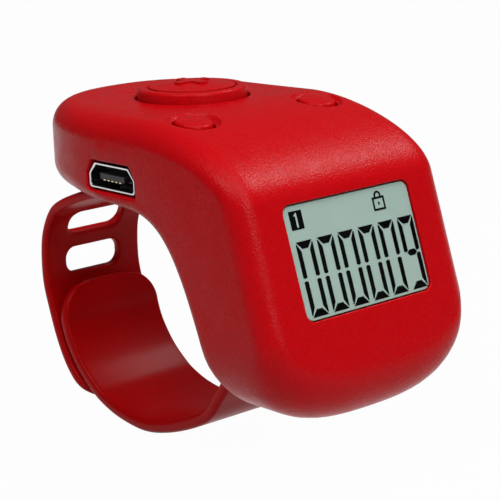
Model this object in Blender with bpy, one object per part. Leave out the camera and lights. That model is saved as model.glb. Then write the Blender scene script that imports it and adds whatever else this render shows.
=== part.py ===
"""Finger tally counter: a curved casing with a display, a count button and two small
keys, worn on a finger by two flexible straps that overlap behind it.

Metres. The origin is the middle of the finger hole. +X runs along the finger,
+Y points back, away from the display, and +Z points up, towards the buttons.
"""
import functools
import math

import bmesh
import bpy
from mathutils import Matrix, Vector

# Fits shared by all the pieces
fit_gap = 0.0003
thread_gap = 0.0002
overrun = 0.0010
hollow_overrun = 0.0020
weld_distance = 0.000005

# Casing
case_width = 0.0280
half_width = case_width / 2
case_wall = 0.0015
case_top = 0.0213
top_crown = 0.00030
case_foot = 0.0078
rear_start = -0.0030
rear_reach = 0.0177
rear_power = 2.5
arch_rise = 0.0122
face_lean = math.radians(17.6)
face_y = -0.02575
face_z = 0.0087
edge_radius = 0.0027
arch_edge_radius = 0.0009
chin_radius = 0.0045
chin_fade = 0.0010
heel_radius = 0.0015
rear_foot_radius = 0.0028
rear_foot_fade = 0.0080
foot_height = 0.0104
foot_power = 2.9
side_crowding = 0.0060
least_radius = 0.0004
face_flat = 0.0062
shoulder_start = -0.0070
shoulder_top_handle = 0.0070
shoulder_face_handle = 0.0036
arch_start = -0.0048
arch_end_y = -0.0179
arch_end_z = -0.0029
arch_lean = math.radians(20.5)
arch_top_handle = 0.0070
arch_leg_handle = 0.0115

# Inner cover and its screws
cover_thickness = 0.0012
screw_shank = 0.0008
screw_head = 0.0013
screw_head_height = 0.0006
screw_length = 0.0040
bore_depth = 0.0050
screw_drive = 0.0005
screw_drive_depth = 0.0003
boss_radius = 0.0015
rear_screw_inset = 0.0052
rear_screw_x = half_width - rear_screw_inset
rear_screw_y = 0.0030
face_screw_inset = 0.0040
face_screw_x = half_width - face_screw_inset
face_screw_drop = 0.0081
post_radius = 0.0011
post_switch_gap = 0.0010
post_y = -0.0097
cover_post_inset = 0.0080
cover_post_x = half_width - cover_post_inset
cover_post_y = -0.0062

# Count button and its switch
count_y = -0.0007
count_radius = 0.0059
count_rise = 0.00105
count_dome = 0.0006
count_rim = 0.0010
count_groove = 0.0003
count_skin = 0.0012
count_wall = 0.0011
count_hollow = count_radius - count_wall
count_flange = 0.0007
count_flange_height = 0.0006
count_boss_radius = 0.0014
count_switch_size = 0.0052
count_switch_height = 0.0015
count_plunger_radius = 0.0010
count_plunger_rise = 0.0007
plunger_root = 0.00035
well_floor = 0.00015

# Small keys and their switches
key_inset = 0.0055
key_x = half_width - key_inset
key_y = -0.0111
key_radius = 0.00195
key_dish_radius = 0.0028
key_dish_depth = 0.0005
key_seat_depth = 0.0017
key_flange = 0.0006
key_flange_height = 0.0005
key_bevel = 0.0002
key_switch_size = 0.0036
key_switch_height = 0.0009
key_plunger_radius = 0.0008
key_plunger_rise = 0.0004

# Main board
board_thickness = 0.0008
board_top = 0.0167
board_side_gap = 0.0013
board_half_width = half_width - case_wall - board_side_gap
board_boss_gap = 0.0005
board_tail_half_width = rear_screw_x - boss_radius - board_boss_gap
board_front = -0.0132
board_waist = 0.0004
board_tail = 0.0042
chip_size = 0.0040
chip_height = 0.0009
chip_y = -0.0060
post_x = key_x - key_switch_size / 2 - post_radius - post_switch_gap

# Charging socket on the left side
port_y = -0.00385
port_z = 0.0151
port_width = 0.0075
port_height = 0.0026
port_narrow = 0.0056
port_depth = 0.0050
port_skin = 0.0003
port_inset = 0.0003
port_margin = 0.0003
tongue_width = 0.0040
tongue_thickness = 0.0006
tongue_reach = 0.0036
tongue_base = 0.0010
port_back = 0.0010
port_knee_share = 0.05

# Display, in layers behind the sloping face
window_width = 0.01735
window_height = 0.01155
window_radius = 0.0010
lens_inset = 0.00012
lens_side_gap = 0.00015
lens_flange = 0.0009
lens_flange_thickness = 0.0004
glass_margin = 0.001025
glass_width = window_width + 2 * glass_margin
glass_low = -0.0063
glass_high = 0.0073
glass_thickness = 0.0014
light_thickness = 0.0008
light_high = 0.0051
contact_inset = 0.0007
contact_width = glass_width - 2 * contact_inset
contact_height = 0.0014
contact_radius = 0.00035
face_board_thickness = 0.0006
battery_inset = 0.0007
battery_width = glass_width - 2 * battery_inset
battery_low = -0.0046
battery_high = 0.0050
battery_thickness = 0.0021
battery_radius = 0.0009
ribbon_width = 0.0070
ribbon_thickness = 0.00020
ribbon_land = 0.0016

# Straps
strap_screw_gap = 0.00065
strap_width = 2 * (rear_screw_x - screw_head - strap_screw_gap)
strap_reach = 0.0193
strap_drop = 0.01475
rear_strap_thickness = 0.0011
front_strap_thickness = 0.0013
strap_edge = 0.0004
strap_edge_share = 0.8
rear_anchor_thickness = 0.0019
front_anchor_thickness = 0.0026
anchor_length = 0.0011
anchor_fade_share = 0.5
rear_anchor_y = -0.0012
rear_anchor_drop = 0.0037
front_anchor_reach = 0.0050
tunnel_gap = 0.00025
strap_tip_radius = 0.0042
slot_margin = 0.00305
slot_length = strap_width - 2 * slot_margin
slot_width = 0.0030
slot_radius = 0.0013
slot_pitch = 0.0049
slot_count = 5
slot_start = 0.0226
stud_slot = 4
stud_neck_inset = 0.0015
stud_neck_length = slot_length - 2 * stud_neck_inset
stud_neck_width = 0.0017
stud_head_inset = 0.0010
stud_head_length = slot_length - 2 * stud_head_inset
stud_head_width = 0.0036
stud_head_radius = 0.0012
stud_head_thickness = 0.0009

# The straps' anchors, as shares of the rear drop and of the front reach
rear_anchor_shares = [(0.0, 0.0), (0.5, -0.05), (0.93, -0.36), (1.28, -0.74)]
front_anchor_shares = [(-0.66, 0.38), (-0.40, 0.43), (-0.16, 0.43), (0.10, 0.35), (0.44, 0.12),
                       (0.86, -0.22)]

# Routes of the straps round the finger, as shares of strap_reach and strap_drop
rear_ring_shares = [(0.316, 0.75), (0.468, 0.716), (0.616, 0.661), (0.795, 0.572), (0.90, 0.483),
                    (0.974, 0.322), (1.003, 0.158), (1.003, -0.082), (0.958, -0.301), (0.895, -0.527),
                    (0.816, -0.712), (0.716, -0.846), (0.642, -0.904), (0.574, -0.952)]
front_ring_shares = [(-0.626, -0.473), (-0.563, -0.589), (-0.466, -0.743), (-0.311, -0.853),
                     (-0.092, -0.955), (0.111, -1.003), (0.329, -0.973), (0.489, -0.904), (0.584, -0.829),
                     (0.689, -0.712), (0.784, -0.545), (0.829, -0.401), (0.842, -0.295), (0.874, -0.103)]

# Finishes: colour, roughness, metallic value and alpha
red_plastic = ((0.55, 0.005, 0.01), 0.45, 0.0, 1.0)
cover_plastic = ((0.42, 0.004, 0.008), 0.5, 0.0, 1.0)
strap_rubber = ((0.50, 0.005, 0.01), 0.5, 0.0, 1.0)
black_plastic = ((0.02, 0.02, 0.02), 0.4, 0.0, 1.0)
circuit_board = ((0.02, 0.16, 0.06), 0.5, 0.0, 1.0)
bright_steel = ((0.62, 0.62, 0.64), 0.25, 1.0, 1.0)
clear_plastic = ((0.80, 0.85, 0.83), 0.1, 0.0, 0.35)
grey_glass = ((0.38, 0.46, 0.43), 0.3, 0.0, 1.0)
white_plastic = ((0.80, 0.80, 0.78), 0.5, 0.0, 1.0)
grey_rubber = ((0.50, 0.50, 0.52), 0.7, 0.0, 1.0)
foil = ((0.60, 0.60, 0.62), 0.4, 0.6, 1.0)
amber_film = ((0.70, 0.40, 0.10), 0.5, 0.0, 1.0)

# Facets
smooth_angle = math.radians(32)
corner_steps = 5
curve_steps = 10
edge_steps = 6
span_steps = 4
end_stretch = 1.6
face_steps = 5
fine_steps = 80
cover_steps = 6
disc_sides = 40
pin_sides = 20
key_sides = 28
post_sides = 12
dome_steps = 4
small_corner_steps = 3
slot_corner_steps = 4
route_samples = 16
strap_steps = 44
tunnel_first = 1
tunnel_last = 12

face_up = Vector((0.0, math.sin(face_lean), math.cos(face_lean)))
face_out = Vector((0.0, -math.cos(face_lean), math.sin(face_lean)))
cut_depth = 4 * case_wall
face_turn = (math.pi / 2 - face_lean, 0.0, 0.0)
port_turn = (math.pi / 2, 0.0, -math.pi / 2)
side_turn = (math.pi / 2, 0.0, math.pi / 2)
sides = ((-1, "left"), (1, "right"))


def on_face(x, up, inward):
    """World place of a point of the display face, counted inward from its surface."""
    return Vector((x, face_y, face_z)) + face_up * up - face_out * inward


# Scene, materials and objects

def clear_scene():
    for item in list(bpy.data.objects):
        bpy.data.objects.remove(item, do_unlink=True)


def new_collection(name):
    group = bpy.data.collections.new(name)
    bpy.context.scene.collection.children.link(group)
    return group


def new_material(name, colour, roughness, metallic, alpha):
    material = bpy.data.materials.new(name)
    material.use_nodes = True
    shader = material.node_tree.nodes["Principled BSDF"]
    shader.inputs["Base Color"].default_value = (*colour, 1.0)
    shader.inputs["Roughness"].default_value = roughness
    shader.inputs["Metallic"].default_value = metallic
    shader.inputs["Alpha"].default_value = alpha
    return material


def add_piece(name, finish, mesh, place=(0.0, 0.0, 0.0), turn=(0.0, 0.0, 0.0)):
    piece = bpy.data.objects.new(name, mesh)
    parts.objects.link(piece)
    piece.location = place
    piece.rotation_euler = turn
    mesh.materials.clear()
    mesh.materials.append(new_material(name, *finish))
    mesh.shade_smooth()
    mesh.set_sharp_from_angle(angle=smooth_angle)
    return piece


def add_cutter(name, mesh, place=(0.0, 0.0, 0.0), turn=(0.0, 0.0, 0.0)):
    cutter = bpy.data.objects.new(name, mesh)
    cutters.objects.link(cutter)
    cutter.location = place
    cutter.rotation_euler = turn
    cutter.hide_render = True
    cutter.display_type = "WIRE"
    return cutter


def combine(piece, cutter, operation="DIFFERENCE"):
    step = piece.modifiers.new(cutter.name, "BOOLEAN")
    step.operation = operation
    step.solver = "EXACT"
    step.object = cutter


# Shapes

def mesh_from(bm, name):
    bmesh.ops.recalc_face_normals(bm, faces=bm.faces[:])
    mesh = bpy.data.meshes.new(name)
    bm.to_mesh(mesh)
    bm.free()
    return mesh


def box_mesh(name, width, depth, height):
    bm = bmesh.new()
    bmesh.ops.create_cube(bm, size=1.0)
    bmesh.ops.scale(bm, vec=(width, depth, height), verts=bm.verts[:])
    return mesh_from(bm, name)


def disc_mesh(name, radius, height, facets=pin_sides):
    bm = bmesh.new()
    bmesh.ops.create_cone(bm, cap_ends=True, segments=facets, radius1=radius, radius2=radius, depth=height)
    return mesh_from(bm, name)


def plate_mesh(name, outline, thickness):
    """A flat outline in X and Y, thickened evenly about its plane."""
    curve = bpy.data.curves.new(name, "CURVE")
    curve.dimensions = "2D"
    curve.fill_mode = "BOTH"
    curve.extrude = thickness / 2
    spline = curve.splines.new("POLY")
    spline.points.add(len(outline) - 1)
    for point, (x, y) in zip(spline.points, outline):
        point.co = (x, y, 0.0, 1.0)
    spline.use_cyclic_u = True
    holder = bpy.data.objects.new(name, curve)
    bpy.context.scene.collection.objects.link(holder)
    bpy.context.view_layer.update()
    flat = bpy.data.meshes.new_from_object(holder.evaluated_get(bpy.context.evaluated_depsgraph_get()))
    bpy.data.objects.remove(holder, do_unlink=True)
    bpy.data.curves.remove(curve)
    bm = bmesh.new()
    bm.from_mesh(flat)
    bpy.data.meshes.remove(flat)
    bmesh.ops.remove_doubles(bm, verts=bm.verts[:], dist=weld_distance)
    return mesh_from(bm, name)


def turned_mesh(name, profile, facets=disc_sides):
    """A solid turned about Z from a profile of (radius, height), axis to axis, top to bottom."""
    bm = bmesh.new()
    rings = []
    for radius, height in profile:
        if radius > 0.0:
            turns = [math.tau * k / facets for k in range(facets)]
            ring = [bm.verts.new((radius * math.cos(turn), radius * math.sin(turn), height))
                    for turn in turns]
        else:
            ring = [bm.verts.new((0.0, 0.0, height))]
        rings.append(ring)
    skin_rings(bm, rings)
    return mesh_from(bm, name)


def skin_rings(bm, rings):
    """Faces between neighbouring closed rings; a ring of one point closes an end."""
    for ring, following in zip(rings, rings[1:]):
        count = max(len(ring), len(following))
        for k in range(count):
            corners = []
            for vertex in (ring[k % len(ring)], ring[(k + 1) % len(ring)],
                           following[(k + 1) % len(following)], following[k % len(following)]):
                if vertex not in corners:
                    corners.append(vertex)
            bm.faces.new(corners)


def lofted_mesh(name, sections):
    """A solid through closed sections of equally many points, with flat ends."""
    bm = bmesh.new()
    rings = [[bm.verts.new(point) for point in section] for section in sections]
    skin_rings(bm, rings)
    bmesh.ops.triangulate(bm, faces=bm.faces[:])
    bm.faces.new(rings[0])
    bm.faces.new(rings[-1])
    return mesh_from(bm, name)


def rounded_rectangle(width, height, radius, steps=corner_steps):
    outline = []
    for across, along, start in ((1, 1, 0), (-1, 1, 1), (-1, -1, 2), (1, -1, 3)):
        for k in range(steps + 1):
            angle = (start + k / steps) * math.pi / 2
            outline.append((across * (width / 2 - radius) + radius * math.cos(angle),
                            along * (height / 2 - radius) + radius * math.sin(angle)))
    return outline


def fillet(before, corner, after, radius, steps=corner_steps):
    """Points of an arc that rounds a corner between two straight sides."""
    a = (Vector(before) - Vector(corner)).normalized()
    b = (Vector(after) - Vector(corner)).normalized()
    half = a.angle(b) / 2
    centre = Vector(corner) + (a + b).normalized() * (radius / math.sin(half))
    start = Vector(corner) + a * (radius / math.tan(half)) - centre
    end = Vector(corner) + b * (radius / math.tan(half)) - centre
    turn = start.angle_signed(end)
    return [tuple(centre + Matrix.Rotation(-turn * k / steps, 2) @ start) for k in range(steps + 1)]


def bezier(start, start_handle, end_handle, end, steps=curve_steps, first=0.0):
    points = []
    for k in range(steps + 1):
        t = first + (1 - first) * k / steps
        weights = ((1 - t) ** 3, 3 * t * (1 - t) ** 2, 3 * t * t * (1 - t), t ** 3)
        points.append(tuple(sum(w * p[axis] for w, p in zip(weights, (start, start_handle, end_handle, end)))
                            for axis in range(2)))
    return points


def smooth_route(points, steps):
    """Evenly spaced points of a smooth curve through the given ones."""
    fine = []
    padded = [points[0]] + list(points) + [points[-1]]
    for p0, p1, p2, p3 in zip(padded, padded[1:], padded[2:], padded[3:]):
        for k in range(route_samples):
            t = k / route_samples
            fine.append(0.5 * (2 * p1 + (p2 - p0) * t + (2 * p0 - 5 * p1 + 4 * p2 - p3) * t * t
                               + (3 * p1 - p0 - 3 * p2 + p3) * t ** 3))
    fine.append(points[-1])
    lengths = [0.0]
    for a, b in zip(fine, fine[1:]):
        lengths.append(lengths[-1] + (b - a).length)
    route = []
    index = 0
    for k in range(steps + 1):
        wanted = lengths[-1] * k / steps
        while index < len(lengths) - 2 and lengths[index + 1] < wanted:
            index += 1
        share = (wanted - lengths[index]) / (lengths[index + 1] - lengths[index])
        route.append(fine[index].lerp(fine[index + 1], share))
    return route


# Casing sections, seen from the side

def edge_drop(from_side, radius):
    """How far a rounded edge has fallen back at a distance from the side it runs into."""
    return radius - math.sqrt(radius ** 2 - max(0.0, radius - from_side) ** 2)


def face_line(inset, z):
    """Y of the sloping face, or of a plane inset behind it, at a height."""
    return face_y + inset / math.cos(face_lean) + (z - face_z) * math.tan(face_lean)


def crown(x):
    """How far the top stands above its sides at a distance from the middle."""
    return top_crown * (1.0 - (x / half_width) ** 2)


def shoulder_points(x, inset, steps=curve_steps):
    top = (shoulder_start, case_top + crown(x) - inset)
    end = on_face(0.0, face_flat, inset)
    return bezier(top, (top[0] - shoulder_top_handle, top[1]),
                  (end.y + shoulder_face_handle * face_up.y, end.z + shoulder_face_handle * face_up.z),
                  (end.y, end.z), steps)


def arch_points(offset, lowest=None, steps=curve_steps):
    """The arch from its leg up to the flat underside, moved by offset towards the finger."""
    end = (arch_end_y + offset, arch_end_z - offset)
    top = (arch_start + offset, arch_rise - offset)
    leg = (end[0] + arch_leg_handle * math.sin(arch_lean), end[1] + arch_leg_handle * math.cos(arch_lean))
    start = 0.0
    if lowest is not None:
        fine = bezier(end, leg, (top[0] - arch_top_handle, top[1]), top, fine_steps)
        start = sum(1 for point in fine if point[1] < lowest) / fine_steps
    return bezier(end, leg, (top[0] - arch_top_handle, top[1]), top, steps, start)


def heel_corner(leg, after, floor):
    """Where the arch's leg, run on straight, meets the floor."""
    return (leg[0] - (leg[1] - floor) * (after[0] - leg[0]) / (after[1] - leg[1]), floor)


def rounded_end(across, half, length, power):
    """How far a rounded end still reaches at a distance from the middle."""
    return length * max(0.0, 1.0 - (abs(across) / half) ** power) ** (1.0 / power)


def rear_at(x, inset):
    return rear_start + rounded_end(x, half_width - inset, rear_reach - inset, rear_power)


def floor_at(x, inset):
    return foot_height - case_foot - rounded_end(x, half_width - inset, foot_height - inset, foot_power)


@functools.lru_cache
def rear_outline(inset):
    """Points of the rounded back, seen from above, from one side to the middle."""
    points = []
    for k in range(fine_steps + 1):
        turn = math.pi / 2 * k / fine_steps
        points.append(Vector(((half_width - inset) * math.cos(turn) ** (2.0 / rear_power),
                              rear_start + (rear_reach - inset) * math.sin(turn) ** (2.0 / rear_power))))
    return points


def edge_distance(x, y, inset):
    """Distance from a point of the top or underside to the casing's outline, seen from above."""
    from_side = half_width - inset - abs(x)
    if y <= rear_start:
        return from_side
    outline = rear_outline(inset)
    spot = Vector((abs(x), y))
    nearest = from_side
    for a, b in zip(outline, outline[1:]):
        run = b - a
        share = min(1.0, max(0.0, (spot - a).dot(run) / run.length_squared))
        nearest = min(nearest, (spot - a - run * share).length)
    return nearest


def end_run(x, inset, radius, straight):
    """Places along a section where a rounded edge meets the back wall, wall first."""
    rear = rear_at(x, inset)
    flat = max((rear_start + straight) / 2, rear - radius * end_stretch)
    turns = [math.pi / 2 * k / corner_steps for k in range(corner_steps + 1)]
    return [rear - (rear - flat) * (1 - math.cos(turn)) for turn in turns]


def top_at(x, y, inset):
    return case_top + crown(x) - inset - edge_drop(edge_distance(x, y, inset), edge_radius - inset)


def underside_at(x, y):
    """Height of the flat underside and of its edge, which is rounder towards the back."""
    share = min(1.0, max(0.0, (y - rear_start) / rear_foot_fade))
    radius = arch_edge_radius + (rear_foot_radius - arch_edge_radius) * share
    return arch_rise + edge_drop(edge_distance(x, y, 0.0), radius)


def case_section(x, inset, closed):
    """Outline at a distance from the middle: back, top, shoulder, face, floor and arch."""
    from_side = half_width - inset - abs(x)
    shell = inset + edge_drop(from_side, edge_radius - inset)
    rear = rear_at(x, inset)
    floor = floor_at(x, inset)
    flat = on_face(0.0, face_flat, shell)
    chin = (face_line(shell, floor), floor)
    rounding = (chin_radius - inset) * math.sqrt(min(1.0, from_side / chin_fade))
    outline = [(y, top_at(x, y, inset)) for y in end_run(x, inset, edge_radius, shoulder_start)]
    outline += shoulder_points(x, shell)
    lower = fillet((flat.y, flat.z), chin, (arch_end_y, floor), max(least_radius, rounding))
    straight_start = Vector((flat.y, flat.z))
    outline += [tuple(straight_start.lerp(Vector(lower[0]), k / face_steps)) for k in range(1, face_steps)]
    outline += lower
    if closed:
        edge = edge_drop(from_side, arch_edge_radius)
        arch = arch_points(-edge, floor + heel_radius)
        heel = heel_corner(arch[0], arch[1], floor)
        outline += fillet(chin, heel, arch[0], heel_radius)
        outline += arch[1:]
        run = end_run(x, inset, rear_foot_radius, arch_start)
        outline += [(y, underside_at(x, y)) for y in reversed(run)]
    else:
        arch = arch_points(hollow_overrun, floor + hollow_overrun)
        outline.append((arch[0][0], floor))
        outline += arch
        outline.append((rear, arch_rise - hollow_overrun))
    return [Vector((x, y, z)) for y, z in outline]


def case_stations(half):
    """Distances from the middle: even over the flat part, closer towards the rounded side."""
    places = [(half - side_crowding) * k / span_steps for k in range(span_steps)]
    places += [half - side_crowding + side_crowding * math.sin(math.pi / 2 * k / edge_steps)
               for k in range(edge_steps + 1)]
    return [-x for x in reversed(places[1:])] + places


def case_mesh(name, inset, closed):
    stations = case_stations(half_width - inset)
    return lofted_mesh(name, [case_section(x, inset, closed) for x in stations])


# Straps

def strap_sections(route, thickness, anchor_thickness, extra, tip_length):
    """Rounded sections along a route; extra widens a tunnel cut, and the tip is rounded in width."""
    total = sum((b - a).length for a, b in zip(route, route[1:]))
    gone = 0.0
    sections = []
    for k, point in enumerate(route):
        if k:
            gone += (point - route[k - 1]).length
        along = (route[min(k + 1, len(route) - 1)] - route[max(k - 1, 0)]).normalized()
        across = Vector((0.0, -along.z, along.y))
        swell = max(0.0, min(1.0, 1.0 + (anchor_length - gone) / (anchor_length * anchor_fade_share)))
        half_thick = thickness / 2 + (anchor_thickness - thickness) / 2 * swell + extra
        past = max(0.0, tip_length - (total - gone))
        half = strap_width / 2 - tip_length + math.sqrt(max(0.0, tip_length ** 2 - past ** 2)) + extra
        corner = min(strap_edge, half_thick * strap_edge_share)
        section = rounded_rectangle(2 * half, 2 * half_thick, corner, small_corner_steps)
        sections.append([point + Vector((a, 0.0, 0.0)) + across * b for a, b in section])
    return sections


def ring_route(shares):
    return [Vector((0.0, y * strap_reach, z * strap_drop)) for y, z in shares]


def rear_strap_route():
    level = arch_rise + cover_thickness + fit_gap + rear_anchor_thickness / 2
    anchor = [Vector((0.0, rear_anchor_y + dy * rear_anchor_drop, level + dz * rear_anchor_drop))
              for dy, dz in rear_anchor_shares]
    return smooth_route(anchor + ring_route(rear_ring_shares), strap_steps)


def front_strap_route():
    leg = Vector((0.0, arch_end_y, arch_end_z))
    anchor = [leg + Vector((0.0, dy * front_anchor_reach, dz * front_anchor_reach))
              for dy, dz in front_anchor_shares]
    return smooth_route(anchor + ring_route(front_ring_shares), strap_steps)


def shoulder_at(x, y):
    """Height and slope of the casing's top at a place on the shoulder."""
    points = shoulder_points(x, 0.0, fine_steps)
    for (y0, z0), (y1, z1) in zip(points, points[1:]):
        if y1 <= y <= y0:
            slope = (z1 - z0) / (y1 - y0)
            return z0 + (y - y0) * slope, slope
    return case_top + crown(x), 0.0


# Sub-parts

def make_case():
    case = add_piece("case", red_plastic, case_mesh("case", 0.0, True))
    combine(case, add_cutter("case_hollow", case_mesh("case_hollow", case_wall, False)))
    for side, name in sides:
        add_bosses(case, side, name)
    for side, name in sides:
        rear_place = (side * rear_screw_x, rear_screw_y, arch_rise + cover_thickness + bore_depth / 2)
        middle = face_boss_depth() + fit_gap - bore_depth / 2
        face_place = on_face(side * face_screw_x, -face_screw_drop, middle)
        bore = disc_mesh("screw_bore", screw_shank + thread_gap, bore_depth)
        combine(case, add_cutter("rear_bore_" + name, bore, rear_place))
        combine(case, add_cutter("face_bore_" + name, bore.copy(), face_place, face_turn))
    cut_case_openings(case)


def add_bosses(case, side, name):
    """The screw bosses behind the roof and the face, and the post that holds the board down."""
    roof = case_top - case_wall
    height = roof - (arch_rise + cover_thickness + fit_gap) + overrun
    boss = add_cutter("rear_boss_" + name, disc_mesh("rear_boss", boss_radius, height),
                      (side * rear_screw_x, rear_screw_y, roof + overrun - height / 2))
    combine(case, boss, "UNION")
    height = face_boss_depth() - case_wall + overrun
    place = on_face(side * face_screw_x, -face_screw_drop, case_wall - overrun + height / 2)
    boss = add_cutter("face_boss_" + name, disc_mesh("face_boss", boss_radius, height), place, face_turn)
    combine(case, boss, "UNION")
    height = roof - board_top - fit_gap + overrun
    post = add_cutter("roof_post_" + name, disc_mesh("roof_post", post_radius, height, post_sides),
                      (side * post_x, post_y, roof + overrun - height / 2))
    combine(case, post, "UNION")


def face_boss_depth():
    """How far in the bosses behind the face reach: to the cover's inner side."""
    return face_screw_seat() - cover_thickness - fit_gap


def face_screw_seat():
    """Depth from the face to the arch, at the level of the front screws."""
    points = arch_points(0.0, None, fine_steps)
    origin = on_face(0.0, -face_screw_drop, 0.0)
    for (y0, z0), (y1, z1) in zip(points, points[1:]):
        a = Vector((0.0, y0, z0)) - origin
        b = Vector((0.0, y1, z1)) - origin
        if a.dot(face_up) <= 0.0 <= b.dot(face_up):
            return -a.lerp(b, -a.dot(face_up) / (b - a).dot(face_up)).dot(face_out)
    return 0.0


def cut_case_openings(case):
    window = plate_mesh("window_cut", rounded_rectangle(window_width, window_height, window_radius),
                        2 * case_wall + 2 * overrun)
    combine(case, add_cutter("window_cut", window, on_face(0.0, 0.0, case_wall / 2), face_turn))
    hole = disc_mesh("count_hole", count_radius + fit_gap, cut_depth, disc_sides)
    combine(case, add_cutter("count_hole", hole, (0.0, count_y, case_top)))
    seat = disc_mesh("count_seat", count_radius + count_flange + fit_gap, case_wall, disc_sides)
    seat_level = case_top + top_crown - case_wall - case_wall / 2
    combine(case, add_cutter("count_seat", seat, (0.0, count_y, seat_level)))
    for side, name in sides:
        cut_key_opening(case, side, name)
    mouth = plate_mesh("port_cut", port_outline(port_margin), 2 * case_wall + 2 * overrun)
    combine(case, add_cutter("port_cut", mouth, (case_wall / 2 - half_width, port_y, port_z), port_turn))


def cut_key_opening(case, side, name):
    """A finger dish on the shoulder, the key's hole and the seat for its flange."""
    surface, slope = shoulder_at(key_x, key_y)
    hole_radius = key_radius + fit_gap
    spread = (key_dish_radius - hole_radius) / 2
    bm = bmesh.new()
    bmesh.ops.create_cone(bm, cap_ends=True, segments=key_sides, radius1=hole_radius + spread,
                          radius2=key_dish_radius + spread, depth=2 * key_dish_depth)
    combine(case, add_cutter("key_dish_" + name, mesh_from(bm, "key_dish"), (side * key_x, key_y, surface),
                             (math.atan(slope), 0.0, 0.0)))
    hole = disc_mesh("key_hole", hole_radius, cut_depth, key_sides)
    combine(case, add_cutter("key_hole_" + name, hole, (side * key_x, key_y, surface)))
    height = case_wall + overrun
    seat = disc_mesh("key_seat", hole_radius + key_flange, height, key_sides)
    level = surface - key_seat_depth + key_flange_height - height / 2
    combine(case, add_cutter("key_seat_" + name, seat, (side * key_x, key_y, level)))


def port_outline(margin):
    """The socket's mouth: a flat oblong, narrower at the top; X is along -Y of the part."""
    top = port_height / 2 + margin
    wide = port_width / 2 + margin
    narrow = port_narrow / 2 + margin
    knee = port_height * port_knee_share
    return [(-narrow, top), (-wide, knee), (-wide, -top), (wide, -top), (wide, knee), (narrow, top)]


def cover_section(x):
    """The arch's own surface and a line one cover thickness above it."""
    arch = arch_points(0.0)
    under = [heel_corner(arch[0], arch[1], -case_foot)] + arch
    run = end_run(x, 0.0, rear_foot_radius, arch_start)
    under += [(y, underside_at(x, y)) for y in reversed(run[1:])]
    over = []
    for k, point in enumerate(under):
        side = unit_inward(under, k)
        over.append((point[0] + side.x * cover_thickness, point[1] + side.y * cover_thickness))
    return [Vector((x, y, z)) for y, z in under + over[::-1]]


def unit_inward(points, index):
    """Direction to the left of an open line of points."""
    before = Vector(points[max(index - 1, 0)])
    after = Vector(points[min(index + 1, len(points) - 1)])
    along = (after - before).normalized()
    return Vector((-along.y, along.x))


def make_inner_cover():
    stations = [half_width * k / cover_steps for k in range(-cover_steps, cover_steps + 1)]
    cover = add_piece("inner_cover", cover_plastic,
                      lofted_mesh("inner_cover", [cover_section(x) for x in stations]))
    trim = case_mesh("cover_trim", case_wall + fit_gap, False)
    combine(cover, add_cutter("cover_trim", trim), "INTERSECT")
    for side, name in sides:
        add_cover_post(cover, side, name)
        cut_screw_seats(cover, side, name)
    for route, thickness, name in ((rear_strap_route(), rear_strap_thickness, "rear_tunnel"),
                                   (front_strap_route(), front_strap_thickness, "front_tunnel")):
        stretch = route[tunnel_first:tunnel_last]
        tunnel = lofted_mesh(name, strap_sections(stretch, thickness, thickness, tunnel_gap, 0.0))
        combine(cover, add_cutter(name, tunnel))


def add_cover_post(cover, side, name):
    """A post that the main board rests on."""
    low = arch_rise + cover_thickness / 2
    height = board_top - board_thickness - fit_gap - low
    post = disc_mesh("cover_post", post_radius, height, post_sides)
    place = (side * cover_post_x, cover_post_y, low + height / 2)
    combine(cover, add_cutter("cover_post_" + name, post, place), "UNION")


def cut_screw_seats(cover, side, name):
    bore = disc_mesh("cover_bore", screw_shank + thread_gap, 6 * cover_thickness)
    height = screw_head_height + fit_gap + 4 * overrun
    sink = disc_mesh("cover_sink", screw_head + thread_gap, height)
    rear_low = arch_rise + screw_head_height + fit_gap
    seat = face_screw_seat()
    front_low = seat - screw_head_height - fit_gap
    combine(cover, add_cutter("cover_bore_rear_" + name, bore,
                              (side * rear_screw_x, rear_screw_y, arch_rise)))
    combine(cover, add_cutter("cover_sink_rear_" + name, sink,
                              (side * rear_screw_x, rear_screw_y, rear_low - height / 2)))
    combine(cover, add_cutter("cover_bore_front_" + name, bore.copy(),
                              on_face(side * face_screw_x, -face_screw_drop, seat), face_turn))
    front_place = on_face(side * face_screw_x, -face_screw_drop, front_low + height / 2)
    combine(cover, add_cutter("cover_sink_front_" + name, sink.copy(), front_place, face_turn))


def make_screws():
    for k, (side, name) in enumerate(sides):
        rear_place = (side * rear_screw_x, rear_screw_y, arch_rise + screw_head_height)
        add_screw("cover_screw_%d" % (k + 1), rear_place, (0.0, 0.0, 0.0))
        depth = face_screw_seat() - screw_head_height
        face_place = on_face(side * face_screw_x, -face_screw_drop, depth)
        add_screw("cover_screw_%d" % (k + 3), face_place, face_turn)


def add_screw(name, place, turn):
    """A screw whose head's inner side is at its origin, pointing up its own Z."""
    head_low = -screw_head_height
    drive = head_low + screw_drive_depth
    profile = [(0.0, screw_length), (screw_shank, screw_length), (screw_shank, 0.0), (screw_head, 0.0),
               (screw_head, head_low), (screw_drive, head_low), (screw_drive, drive), (0.0, drive)]
    add_piece(name, bright_steel, turned_mesh(name, profile, pin_sides), place, turn)


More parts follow.
